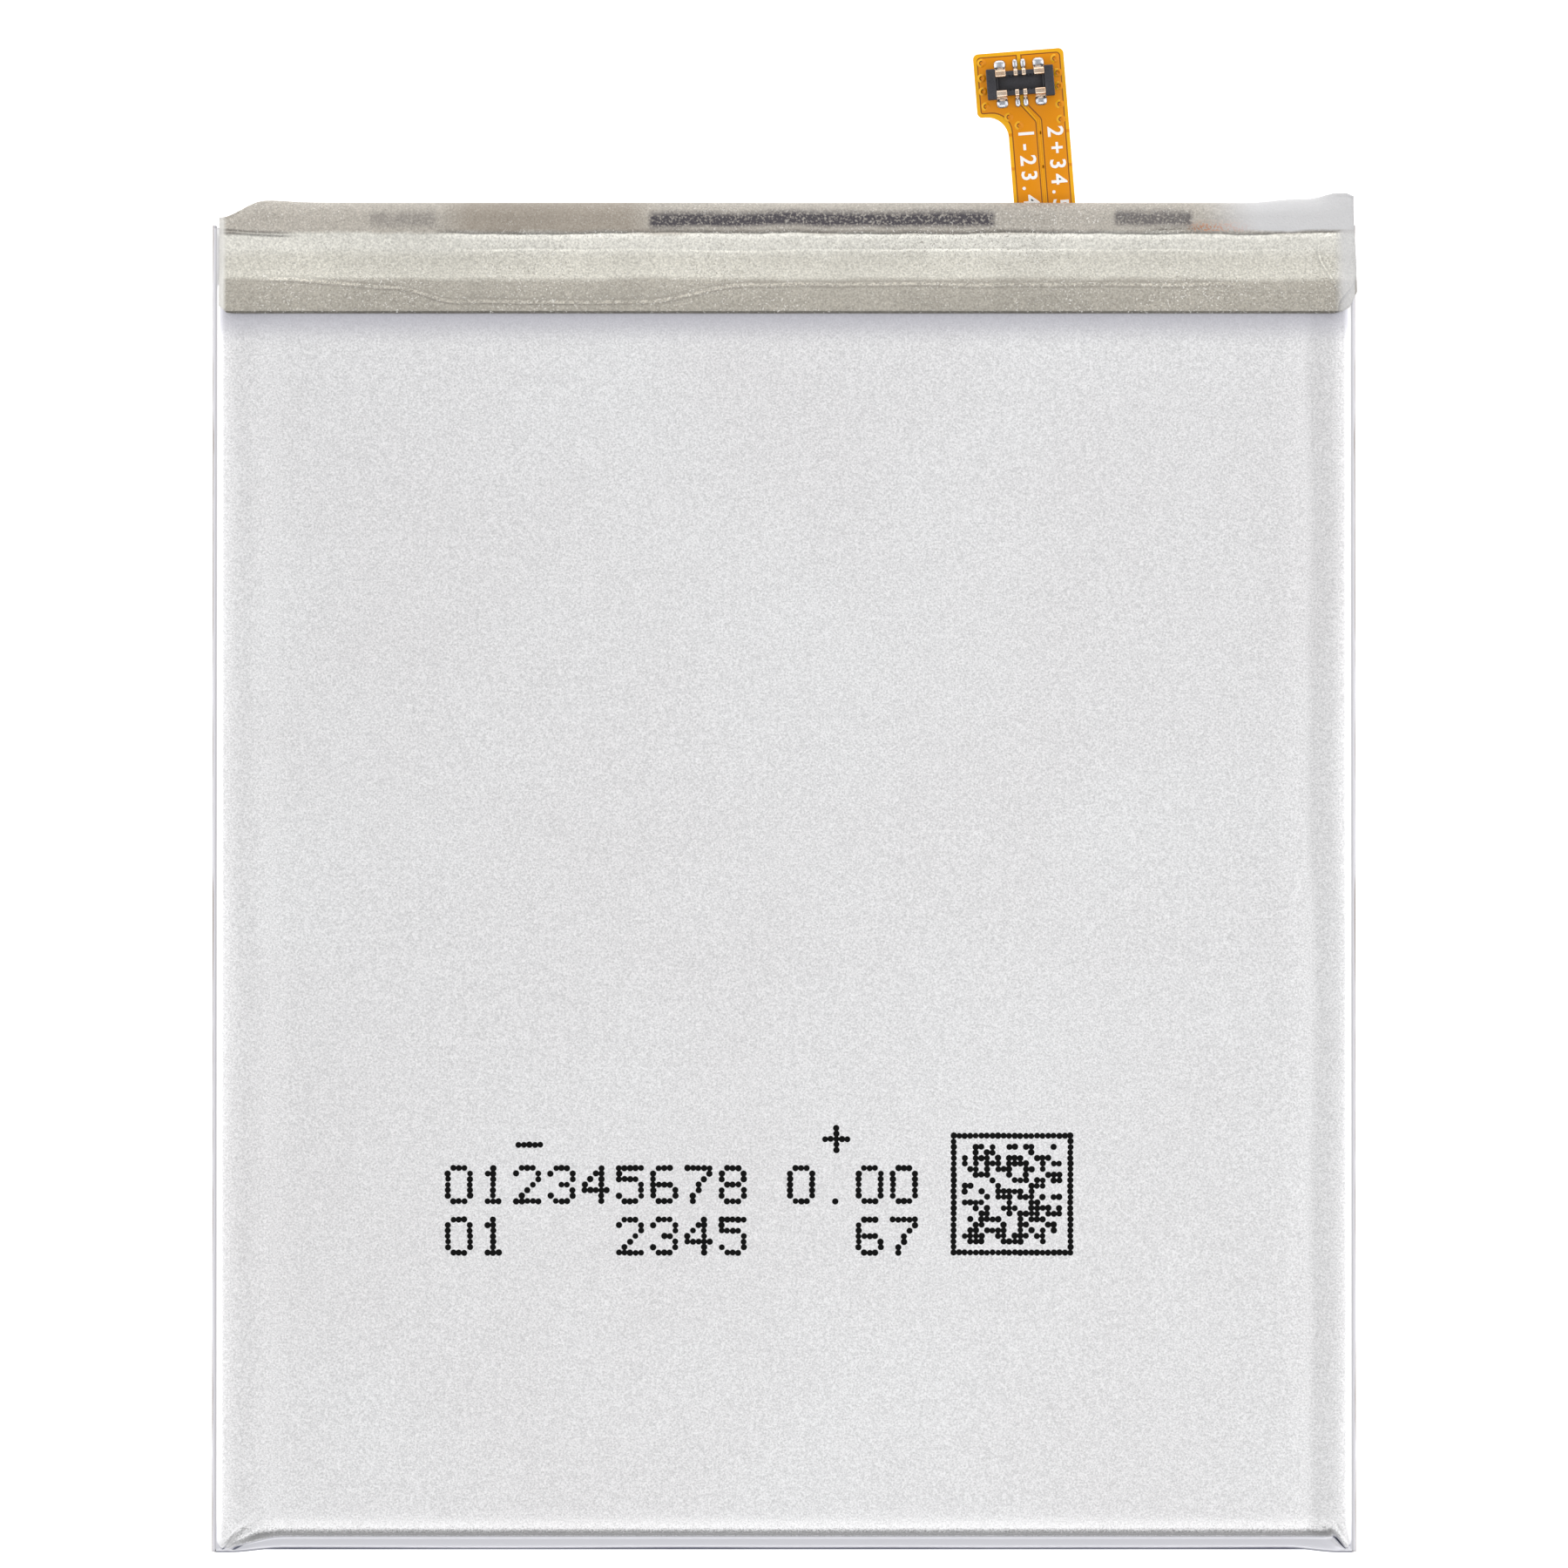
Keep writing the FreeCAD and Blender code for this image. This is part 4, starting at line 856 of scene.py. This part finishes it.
def tapeProfile(bm):
    # the path round the terrace, as a chain in the YZ plane at the left end
    half = tape["thickness"] / 2
    front, back, out = tapeHigh.z - half, tapeLow.z + half, tape["outerEdge"] - half
    wall = tape["wallY"] + half
    points = [(tape["frontEdge"], front), (wall - 0.45, front), (wall + 0.42, tape["terraceZ"]),
              (out, tape["terraceZ"]), (out, tape["underZ"]), (wall, tape["underZ"]), (wall, back),
              (tape["frontEdge"], back)]
    verts = [bm.verts.new((tape["leftEnd"], y, z)) for y, z in points]
    for pair in zip(verts, verts[1:]):
        bm.edges.new(pair)
    for vert, offset in zip(verts[1:-1], tape["rounding"]):
        bevelCorner(bm, vert, offset, 6)
    while True:
        long = [edge for edge in bm.edges if edge.calc_length() > 0.3]
        if not long:
            break
        bmesh.ops.subdivide_edges(bm, edges=long, cuts=1)


def tapeShape(co):
    # gathers, wrinkles and the uneven outer edge
    x, y, z = co
    under = tape["underZ"]
    reach = tape["pinchReach"]
    leftGather = 1 - smoothStep(tape["leftEnd"], tape["leftEnd"] + reach, x)
    rightGather = smoothStep(tape["rightEnd"] - reach, tape["rightEnd"], x)
    lift = tape["pinchLift"] * max(leftGather, rightGather)
    if z <= under:
        z *= (under + lift) / under
    elif z < tape["terraceZ"] and y > tape["wallY"] + 0.6:
        z = tape["terraceZ"] - (tape["terraceZ"] - z) * (tape["terraceZ"] - under - lift) / (tape["terraceZ"] - under)
    shut = max(leftGather, rightGather) * smoothStep(tape["filmEnd"], tape["filmEnd"] + 0.35, y)
    if z < tape["shutZ"]:
        z += (tape["shutZ"] - z) * shut
    outer = smoothStep(31.9, tape["outerEdge"], y)
    y -= outer * (0.78 * leftGather + 0.02 * (1 + wave((x, 0, 0), 9.0, 4)) - 0.1 * math.exp(-((x + 25.2) / 1.2) ** 2))
    for x0, x1, rise in tape["tallEnd"]:
        y += outer * rise * smoothStep(x0, x1, x)
    y -= outer * 0.16 * smoothStep(tape["rightEnd"] - 0.45, tape["rightEnd"], x) ** 2
    x -= tape["endLean"] * smoothStep(26.5, tape["rightEnd"], x) * smoothStep(29.5, 33, y)
    # both laps settle over the pouch's shoulders at the sides
    over = smoothStep(bodyHalf - 0.4, bodyHalf + 0.2, abs(x))
    if co.z > tape["terraceZ"] + 0.02:
        z -= (z - tape["terraceZ"]) * over
    elif co.z < 0.5:
        z += 0.35 * over
    if co.z > tape["terraceZ"] - 0.5:
        # terrace edge under the tape: a fine raised line, then a step down over the board
        edgeLine = 31.9 + 0.12 * wave((x, 0, 0), 4.0, 5)
        z -= 0.05 * smoothStep(edgeLine, edgeLine + 0.12, y)
        z += 0.035 * math.exp(-((y - edgeLine + 0.04) / 0.06) ** 2)
        # where the tape first bridges off the face, it is pulled into small ridges
        bridge = tape["wallY"] - 0.1 + 0.18 * wave((x, 0, 0), 3.0, 6) - 0.1 * smoothStep(-24, -2, x)
        z += 0.03 * math.exp(-((y - bridge) / 0.1) ** 2) * (0.5 + wave((x * 2, y, 0), 0.8, 7))
        z += tape["wrinkle"] * 0.6 * wave((x * 0.6, y * 1.6, 0), 0.8, 8) * smoothStep(28.6, 29.6, y)
        z += 0.05 * math.exp(-((x + 26.2 + 0.25 * (y - 31)) / 0.14) ** 2) * smoothStep(31.6, 32.2, y)
        for creaseX, lean, tall in tape["creases"]:
            z += tall * math.exp(-((x - creaseX - lean * (y - 30)) / 0.1) ** 2) * smoothStep(28.8, 30, y)
    return Vector((x, y, min(z, tapeHigh.z - tape["thickness"] / 2)))


def wrapTapePiece():
    bm = bmesh.new()
    tapeProfile(bm)
    chain = bm.edges[:]
    step = (tape["rightEnd"] - tape["leftEnd"]) / tape["columns"]
    for _ in range(tape["columns"]):
        chain = pullEdges(bm, chain, (step, 0, 0))
        chain = [edge for edge in chain if abs(edge.verts[0].co.x - edge.verts[1].co.x) < step / 2]
    front = tape["frontEdge"]
    for vert in bm.verts:
        vert.co = tapeShape(vert.co)
        if vert.co.y < front + tape["cornerFade"]:  # trimmed corners of the lap on the face and on the back
            cutLeft = max(0, tape["cutCorner"] - (vert.co.x - tape["leftEnd"]))
            fromRight = max(0, tape["roundCorner"] - (tape["rightEnd"] - vert.co.x))
            cutRight = tape["roundCorner"] - math.sqrt(max(tape["roundCorner"] ** 2 - fromRight ** 2, 0))
            fade = 1 - (vert.co.y - front) / tape["cornerFade"]
            vert.co.y += (cutLeft + cutRight * 0.9) * fade
    bmesh.ops.recalc_face_normals(bm, faces=bm.faces)
    highest = max(bm.faces, key=lambda face: face.calc_center_median().z)
    if highest.normal.z < 0:
        bmesh.ops.reverse_faces(bm, faces=bm.faces)
    piece = finishMesh("wrapTape", bm, [looks["tape"]], smoothAngle=80)
    addSolidify(piece, tape["thickness"], 0)
    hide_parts("wrap_tape")
    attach(piece, "pack")


wrapTapePiece()
print("tape made")


# flexible tail, drawn in its own frame: u across, v outwards, w up

hinge = Vector(joints["tail_bend"]["pos_m"]) / mm
neck = Vector(joints["head_bend"]["pos_m"]) / mm
tailAxis = Vector(joints["tail_bend"]["axis"])
tailTurn = Matrix.Rotation(math.atan2(tailAxis.y, tailAxis.x), 4, "Z")
hingeV = 0.25
tailPlace = Matrix.Translation(hinge) @ tailTurn @ Matrix.Translation((0, -hingeV, 0))
neckV = hingeV + (neck - hinge).length

flex = {
    "halfThickness": 0.08,
    "halfWidth": 1.5,
    "start": -1.2,
    "split": 1.8,            # where the two moving lengths of the mesh meet
    "headLeft": -2.95,
    "headRight": 1.5,
    "headLow": 4.57,
    "headTop": 7.7,
    "fillet": 1.05,
    "corner": 0.25,
    "landHeight": 0.035,     # copper's relief under the coverlay
    "landInset": 0.17,
    "bend": 0.36,            # each bend is this long on either side of its hinge
    "viaRadius": 0.23,
    "legendHeight": 0.8,
    "legendTop": 3.9,
    "legends": {"1-23.4": -1.0, "2+34.5": 0.44},  # text and its place across the tail
    "copperSlope": (0.055, 0.03),                 # width and height of the coverlay's slope beside the copper
    "senseLines": (-0.03, 0.07),
    "vias": [(-2.55, 7.25), (-2.6, 6.5), (-2.58, 5.85), (-2.5, 5.1), (-1.42, 4.5), (-0.95, 4.05), (1.05, 7.2),
             (1.14, 6.5), (1.14, 5.85), (1.12, 4.95), (1.12, 4.2)],
    "ties": (1.95, 3.62),
}


def addPlate(bm, points, rounding, low, high, material, slope=None):
    # a flat plate from a few outline points; rounding maps a point's number to its radius, slope is the width and
    # height of a slope round its top
    start = set(bm.faces)
    verts = [bm.verts.new((u, v, low)) for u, v in points]
    face = bm.faces.new(verts)
    if face.normal.z > 0:
        face.normal_flip()
    for number, radius in rounding.items():
        bevelCorner(bm, verts[number], radius, 8)
    faces = [face for face in bm.faces if face not in start]
    made = bmesh.ops.extrude_face_region(bm, geom=faces)["geom"]
    top = [item for item in made if isinstance(item, bmesh.types.BMVert)]
    bmesh.ops.translate(bm, vec=(0, 0, high - low), verts=top)
    fresh = [face for face in bm.faces if face not in start]
    bmesh.ops.recalc_face_normals(bm, faces=fresh)
    for face in fresh:
        face.material_index = material
    if slope:
        lid = [face for face in fresh if all(vert in set(top) for vert in face.verts)]
        ring = bmesh.ops.inset_region(bm, faces=lid, thickness=slope[0], depth=slope[1], use_even_offset=True)
        for face in ring["faces"]:
            # the slope round the copper takes the painted shade material
            face.material_index = 3


def addVia(bm, u, v, w):
    # a plated hole under the coverlay: a low ring with a dimple
    before = set(bm.faces)
    profile = [(0.03, -0.002), (0.07, 0.03), (0.12, 0.05), (0.165, 0.035), (flex["viaRadius"], -0.004)]
    verts = [bm.verts.new((u + x, v, w + z)) for x, z in profile]
    edges = [bm.edges.new(pair) for pair in zip(verts, verts[1:])]
    bmesh.ops.spin(bm, geom=verts + edges, cent=(u, v, w), axis=(0, 0, 1), angle=2 * math.pi, steps=14,
                   use_merge=True, use_duplicate=False)
    fresh = [face for face in bm.faces if face not in before]
    rims = [edge for face in fresh for edge in face.edges if edge.is_boundary]
    bmesh.ops.holes_fill(bm, edges=list(set(rims)), sides=0)
    fresh = [face for face in bm.faces if face not in before]
    bmesh.ops.recalc_face_normals(bm, faces=fresh)
    for face in fresh:
        face.normal_update()
        centre = face.calc_center_median()
        # painted shade on the ring's outer slope to the right and its dimple's slope to the left, and the lighter
        # bare-film tone on the rest of its left side as a painted highlight
        radius = math.hypot(centre.x - u, centre.y - v)
        right = centre.x - u > 0.3 * (centre.y - v)
        shaded = 0.15 < radius < 0.19 if right else 0.05 < radius < 0.1
        face.material_index = 3 if shaded else (0 if radius > 0.1 and not right else 1)


def addLegend(bm, text, u, v, height, w):
    # printed characters that read down the tail
    curve = bpy.data.curves.new("legend", "FONT")
    curve.body = text
    curve.size = height * 1.35
    curve.extrude = 0.006
    curve.resolution_u = 3
    curve.space_character = 1.4
    curve.offset = 0.018
    holder = bpy.data.objects.new("legend", curve)
    scene.collection.objects.link(holder)
    bpy.context.view_layer.update()
    mesh = bpy.data.meshes.new_from_object(holder.evaluated_get(bpy.context.evaluated_depsgraph_get()))
    mesh.transform(Matrix.Translation((u, v, w + 0.006)) @ Matrix.Rotation(-math.pi / 2, 4, "Z"))
    before = set(bm.faces)
    bm.from_mesh(mesh)
    fresh = [face for face in bm.faces if face not in before]
    for face in fresh:
        face.material_index = 2
    bmesh.ops.remove_doubles(bm, verts=list({vert for face in fresh for vert in face.verts}), dist=1e-4)
    bpy.data.objects.remove(holder)
    bpy.data.meshes.remove(mesh)
    bpy.data.curves.remove(curve)


def drawFlex(bm):
    half, width = flex["halfThickness"], flex["halfWidth"]
    left, right, low, top = flex["headLeft"], flex["headRight"], flex["headLow"], flex["headTop"]
    fillet = flex["fillet"]
    film = half - flex["landHeight"]
    outline = [(-width, flex["start"]), (width, flex["start"]), (right, top), (left, top), (left, low), (-width, low)]
    addPlate(bm, outline, {5: fillet, 4: flex["corner"], 3: flex["corner"], 2: flex["corner"]}, -half, film, 0)
    inset = flex["landInset"]
    leftLand = [(-width + inset, flex["start"]), (-0.09, flex["start"]), (-0.09, 4.2), (-0.6, 4.85), (-0.8, 5.1),
                (-0.8, top - inset), (left + inset, top - inset), (left + inset, low + inset),
                (-width + inset, low + inset)]
    addPlate(bm, leftLand, {8: fillet * 0.92, 7: 0.12, 6: 0.2, 3: 0.1, 2: 0.1}, film - 0.01, film + 0.005, 1,
             flex["copperSlope"])
    rightLand = [(0.14, flex["start"]), (width - inset, flex["start"]), (width - inset, top - inset),
                 (-0.62, top - inset), (-0.62, 5.2), (-0.4, 4.95), (0.14, 4.3)]
    addPlate(bm, rightLand, {2: 0.2, 5: 0.1, 6: 0.1}, film - 0.01, film + 0.005, 1, flex["copperSlope"])
    for u in flex["senseLines"]:  # between the lands
        line = [(u - 0.025, flex["start"]), (u + 0.025, flex["start"]), (u + 0.025, 4.3), (u - 0.5, 5.0),
                (u - 0.55, 5.0), (u - 0.025, 4.28)]
        addPlate(bm, line, {}, film - 0.01, film + 0.012, 1)
    for u, v in flex["vias"]:
        addVia(bm, u, v, half)
    for v in flex["ties"]:  # short ties across the plain strips
        for u0, u1 in ((-width + 0.012, -width + inset), (-0.005, 0.14), (width - inset, width - 0.012)):
            addBlock(bm, (u0, v - 0.07, film - 0.01), (u1, v + 0.07, film + 0.012))
            for face in bm.faces[-6:]:
                face.material_index = 1
    for text, u in flex["legends"].items():
        addLegend(bm, text, u, flex["legendTop"], flex["legendHeight"], half)


def cutAcross(bm, v, side=0):
    # a cut square to the tail; side keeps only the near (-1) or the far (1) length
    geometry = bm.verts[:] + bm.edges[:] + bm.faces[:]
    made = bmesh.ops.bisect_plane(bm, geom=geometry, dist=1e-5, plane_co=(0, v, 0), plane_no=(0, 1, 0),
                                  clear_outer=side < 0, clear_inner=side > 0)
    if side:
        edges = [item for item in made["geom_cut"] if isinstance(item, bmesh.types.BMEdge)]
        bmesh.ops.holes_fill(bm, edges=edges, sides=0)


def flexPiece(name, side, hingeAt, nodes):
    bm = bmesh.new()
    drawFlex(bm)
    cutAcross(bm, flex["split"], side)
    cuts = 14
    for number in range(cuts + 1):
        cutAcross(bm, hingeAt - flex["bend"] + 2 * flex["bend"] * number / cuts)
    mapping = bm.loops.layers.uv.new("flexMap")
    for face in bm.faces:
        for loop in face.loops:
            loop[mapping].uv = (loop.vert.co.x * mm, (loop.vert.co.y + loop.vert.co.z) * mm)
    bmesh.ops.triangulate(bm, faces=[face for face in bm.faces if len(face.verts) > 4])
    bmesh.ops.recalc_face_normals(bm, faces=bm.faces)
    piece = finishMesh(name, bm, [looks["amberFilm"], looks["amberOverCopper"], looks["legendInk"],
                                  looks["amberSlopeShade"]], tailPlace, 30)
    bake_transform(piece)
    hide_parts(*nodes)


flexPiece("flexNearLength", -1, hingeV, ("flex_root_film", "flex_root_copper"))
flexPiece("flexFarLength", 1, neckV,
          ("flex_tail_film", "flex_tail_copper", "flex_head_film", "flex_head_copper"))
print("flexible tail made")


# plug

plug = {
    "u": (flex["headLeft"] + flex["headRight"]) / 2,
    "v": (flex["headLow"] + flex["headTop"]) / 2,
    "base": 0.08,
    "length": 3.3,
    "width": 1.5,
    "height": 0.62,
    "floor": 0.2,
    "end": 0.45,
    "railOuter": 0.6,
    "rail": 0.22,
    "contact": 0.07,
    "foot": 0.42,
    "powerU": 0.95,
    "powerWidth": 0.5,
    "signalU": 0.2,
    "signalWidth": 0.18,
    "ribs": (-0.62, -0.42, 0.42, 0.62),  # between the contacts' slots
    "stampedEdge": 0.012,
    "solderReach": 0.045,                # beyond the contact on either side
    "powerSolder": 0.14,
    "signalSolder": 0.12,
}
plugPlace = tailPlace @ Matrix.Translation((plug["u"], plug["v"], plug["base"]))


def contactPlaces(kind):
    spread, width = plug[kind + "U"], plug[kind + "Width"]
    return [(sign * spread, width, side) for side in (-1, 1) for sign in (-1, 1)]


def housingPiece():
    bm = bmesh.new()
    halfLength, halfWidth, top = plug["length"] / 2, plug["width"] / 2, plug["height"]
    inner = halfLength - plug["end"]
    outer, rail = plug["railOuter"], plug["rail"]
    for sign in (-1, 1):
        ends = sorted((sign * inner, sign * halfLength))
        addBlock(bm, (ends[0], -halfWidth, 0), (ends[1], halfWidth, top), 0.05, 3)
        cheek = sorted((sign * (inner + 0.1), sign * (halfLength - 0.1)))
        addBlock(bm, (cheek[0], -0.3, top - 0.03), (cheek[1], 0.3, top - 0.001), 0.025, 2)
        lead = sorted((sign * (inner - 0.12), sign * (inner + 0.04)))
        addBlock(bm, (lead[0], -outer + rail - 0.03, 0.1), (lead[1], outer - rail + 0.03, top * 0.62), 0.04, 2)
        side = sorted((sign * (outer - rail), sign * outer))
        addBlock(bm, (-inner - 0.05, side[0], 0), (inner + 0.05, side[1], top - 0.02), 0.04, 3)
    addBlock(bm, (-inner - 0.05, -outer + 0.05, 0), (inner + 0.05, outer - 0.05, plug["floor"]), 0.02, 2)
    for u in plug["ribs"]:
        for sign in (-1, 1):
            rib = sorted((sign * (outer - rail - 0.05), sign * (outer - rail + 0.02)))
            addBlock(bm, (u - 0.04, rib[0], 0.1), (u + 0.04, rib[1], top - 0.06), 0.015, 2)
    piece = finishMesh("plugHousing", bm, [looks["plugPlastic"]], plugPlace, 35)
    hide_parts("connector_housing")
    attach(piece, "head")


def addContact(bm, u, width, side):
    # sheet metal: foot on its pad, up the rail, over it and down inside
    before = set(bm.verts)
    t = plug["contact"]
    outer, inner = plug["railOuter"] + t / 2, plug["railOuter"] - plug["rail"] - t / 2
    points = [(outer + t / 2 + plug["foot"], t / 2), (outer, t / 2), (outer, plug["height"] + t * 0.1),
              (inner, plug["height"] + t * 0.1), (inner, plug["floor"] + 0.05)]
    verts = [bm.verts.new((u - width / 2, side * v, w)) for v, w in points]
    for pair in zip(verts, verts[1:]):
        bm.edges.new(pair)
    for vert in verts[1:-1]:
        bevelCorner(bm, vert, 0.07, 4)
    chain = [edge for edge in bm.edges if all(vert not in before for vert in edge.verts)]
    pullEdges(bm, chain, (width, 0, 0))


def contactsPiece(name, kind, node):
    bm = bmesh.new()
    for u, width, side in contactPlaces(kind):
        addContact(bm, u, width, side)
    bmesh.ops.recalc_face_normals(bm, faces=bm.faces)
    piece = finishMesh(name, bm, [looks["gold"]], plugPlace, 60)
    addSolidify(piece, plug["contact"], 0)
    rim = piece.modifiers.new("stampedEdge", "BEVEL")
    rim.width = plug["stampedEdge"] * mm
    rim.segments = 2
    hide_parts(node)
    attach(piece, "head")


def solderPiece():
    # a wetted fillet over each foot and its pad
    bm = bmesh.new()
    for kind in ("power", "signal"):
        for u, width, side in contactPlaces(kind):
            before = set(bm.verts)
            bmesh.ops.create_uvsphere(bm, u_segments=16, v_segments=10, radius=1)
            fresh = [vert for vert in bm.verts if vert not in before]
            centre = plug["railOuter"] + plug["contact"] + plug["foot"] * 0.62
            for vert in fresh:  # squared-off dome, flat below
                x, y, z = vert.co
                run = math.hypot(x, y)
                grow = (abs(x) ** 3 + abs(y) ** 3) ** (1 / 3) / run if run > 1e-4 else 1
                vert.co = (x / grow, y / grow, max(z, -0.2))
            size = (width / 2 + plug["solderReach"], plug["foot"] * 0.62, plug[kind + "Solder"])
            bmesh.ops.scale(bm, vec=size, verts=fresh)
            bmesh.ops.translate(bm, vec=(u, side * centre, 0.02), verts=fresh)
    piece = finishMesh("plugSolder", bm, [looks["solder"]], plugPlace, 60)
    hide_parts("connector_solder")
    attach(piece, "head")


housingPiece()
contactsPiece("plugPowerContacts", "power", "power_contacts")
contactsPiece("plugSignalContacts", "signal", "signal_contacts")
solderPiece()
print("plug made")


# printed marks on the face: dot-matrix digits, polarity signs and a plain block of dots

print5x7 = {
    "0": "01110 10001 10001 10001 10001 10001 01110",
    "1": "00100 01100 00100 00100 00100 00100 01110",
    "2": "01110 10001 00001 00010 00100 01000 11111",
    "3": "01110 10001 00001 00110 00001 10001 01110",
    "4": "00010 00110 01010 10010 11111 00010 00010",
    "5": "11111 10000 11110 00001 00001 10001 01110",
    "6": "01110 10000 10000 11110 10001 10001 01110",
    "7": "11111 00001 00010 00100 00100 01000 01000",
    "8": "01110 10001 10001 01110 10001 10001 01110",
    "9": "01110 10001 10001 01111 00001 00001 01110",
    ".": "00000 00000 00000 00000 00000 00000 00100",
    "-": "00000 00000 00000 11111 00000 00000 00000",
    "+": "00000 00100 00100 11111 00100 00100 00000",
}

marks = {
    "dotPitch": 0.27,
    "dotRadius": 0.165,
    "letterPitch": 1.675,
    "left": -16.45,
    "rows": {"012345678 0.00": -14.2, "01   2345   67": -16.72},
    "minus": (-13.0, -12.25),
    "plus": (2.02, -11.97),
    "codeLeft": 8.3,
    "codeTop": -12.62,
    "codePitch": 0.272,
    "codeCount": 22,
    "inkHeight": 0.006,
    "codeFill": 0.47,
    "markSeed": 11,
    "codeSeed": 23,
}


def faceHeight(x, y):
    depth = min(bodyHalf - abs(x), y - coverLow.y) - 0.2
    return coverHigh.z - faceDip(max(depth, shoulderSteps[-1]), x, y)


def addDot(bm, x, y, rng):
    radius = marks["dotRadius"] * rng.uniform(0.92, 1.06)
    x += rng.uniform(-0.012, 0.012)
    y += rng.uniform(-0.012, 0.012)
    top = faceHeight(x, y) + marks["inkHeight"]
    place = Matrix.Translation((x, y, min(top, coverHigh.z + 0.01) - 0.02))
    bmesh.ops.create_cone(bm, cap_ends=True, segments=12, radius1=radius, radius2=radius * 0.94, depth=0.04,
                          matrix=place)


def printedPiece():
    bm = bmesh.new()
    rng = random.Random(marks["markSeed"])
    pitch = marks["dotPitch"]

    def addGlyph(letter, left, top):
        for row, bits in enumerate(print5x7[letter].split()):
            for column, bit in enumerate(bits):
                if bit == "1":
                    addDot(bm, left + column * pitch, top - row * pitch, rng)

    for text, top in marks["rows"].items():
        for number, letter in enumerate(text):
            if letter != " ":
                addGlyph(letter, marks["left"] + number * marks["letterPitch"], top)
    addGlyph("-", *marks["minus"])
    addGlyph("+", *marks["plus"])
    piece = finishMesh("jetPrintedMarks", bm, [looks["jetInk"]], smoothAngle=30)
    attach(piece, "pack")


def printedBlockPiece():
    # a framed square of scattered dots that holds no data
    bm = bmesh.new()
    rng = random.Random(marks["codeSeed"])
    count = marks["codeCount"]
    for row in range(count):
        for column in range(count):
            rim = min(row, column, count - 1 - row, count - 1 - column)
            if rim == 0 or (rim > 1 and rng.random() < marks["codeFill"]):
                addDot(bm, marks["codeLeft"] + column * marks["codePitch"],
                       marks["codeTop"] - row * marks["codePitch"], rng)
    piece = finishMesh("jetPrintedBlock", bm, [looks["jetInk"]], smoothAngle=30)
    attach(piece, "pack")


printedPiece()
printedBlockPiece()
print("marks printed")


# rear label

label = {"cornerRadius": 1.5, "edgeRadius": 0.02}


def rearLabelPiece():
    bm = bmesh.new()
    points = [(labelLow.x, labelLow.y), (labelHigh.x, labelLow.y), (labelHigh.x, labelHigh.y),
              (labelLow.x, labelHigh.y)]
    addPlate(bm, points, dict.fromkeys(range(4), label["cornerRadius"]), labelLow.z, labelHigh.z, 0)
    rim = [edge for edge in bm.edges if all(abs(vert.co.z - labelLow.z) < 1e-4 for vert in edge.verts)]
    bevelEdges(bm, rim, label["edgeRadius"])
    piece = finishMesh("rearLabel", bm, [looks["labelFilm"]], smoothAngle=30)
    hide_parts("rear_label")
    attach(piece, "pack")


rearLabelPiece()
print("label made")


# carried-over pieces of the frame get their real finish

finishes = {
    "pouch_cup": "laminate", "heat_seal": "polypropylene", "separator_inner": "separator",
    "separator_outer": "separator", "cathode_sheet": "cathode", "anode_sheet": "anode",
    "roll_closing_tape": "greenTape", "positive_tab": "aluminium", "negative_tab": "nickel",
    "tab_sealant": "sealant", "tab_insulation_strip": "blackFilm", "protection_board": "boardGreen",
    "weld_plates": "nickel", "mosfets": "epoxy", "protection_ic": "epoxy", "sense_resistor": "epoxy",
    "thermistor": "chipCeramic", "chip_capacitors": "chipCeramic", "chip_resistors": "epoxy",
    "terrace_insulator": "paper", "flex_root_solder": "solder", "connector_stiffener": "steel",
}
for node, look in finishes.items():
    slots = frame["nodes"][node].material_slots
    if slots:
        for slot in slots:
            slot.material = looks[look]
    else:
        frame["nodes"][node].data.materials.append(looks[look])
print("frame finished")
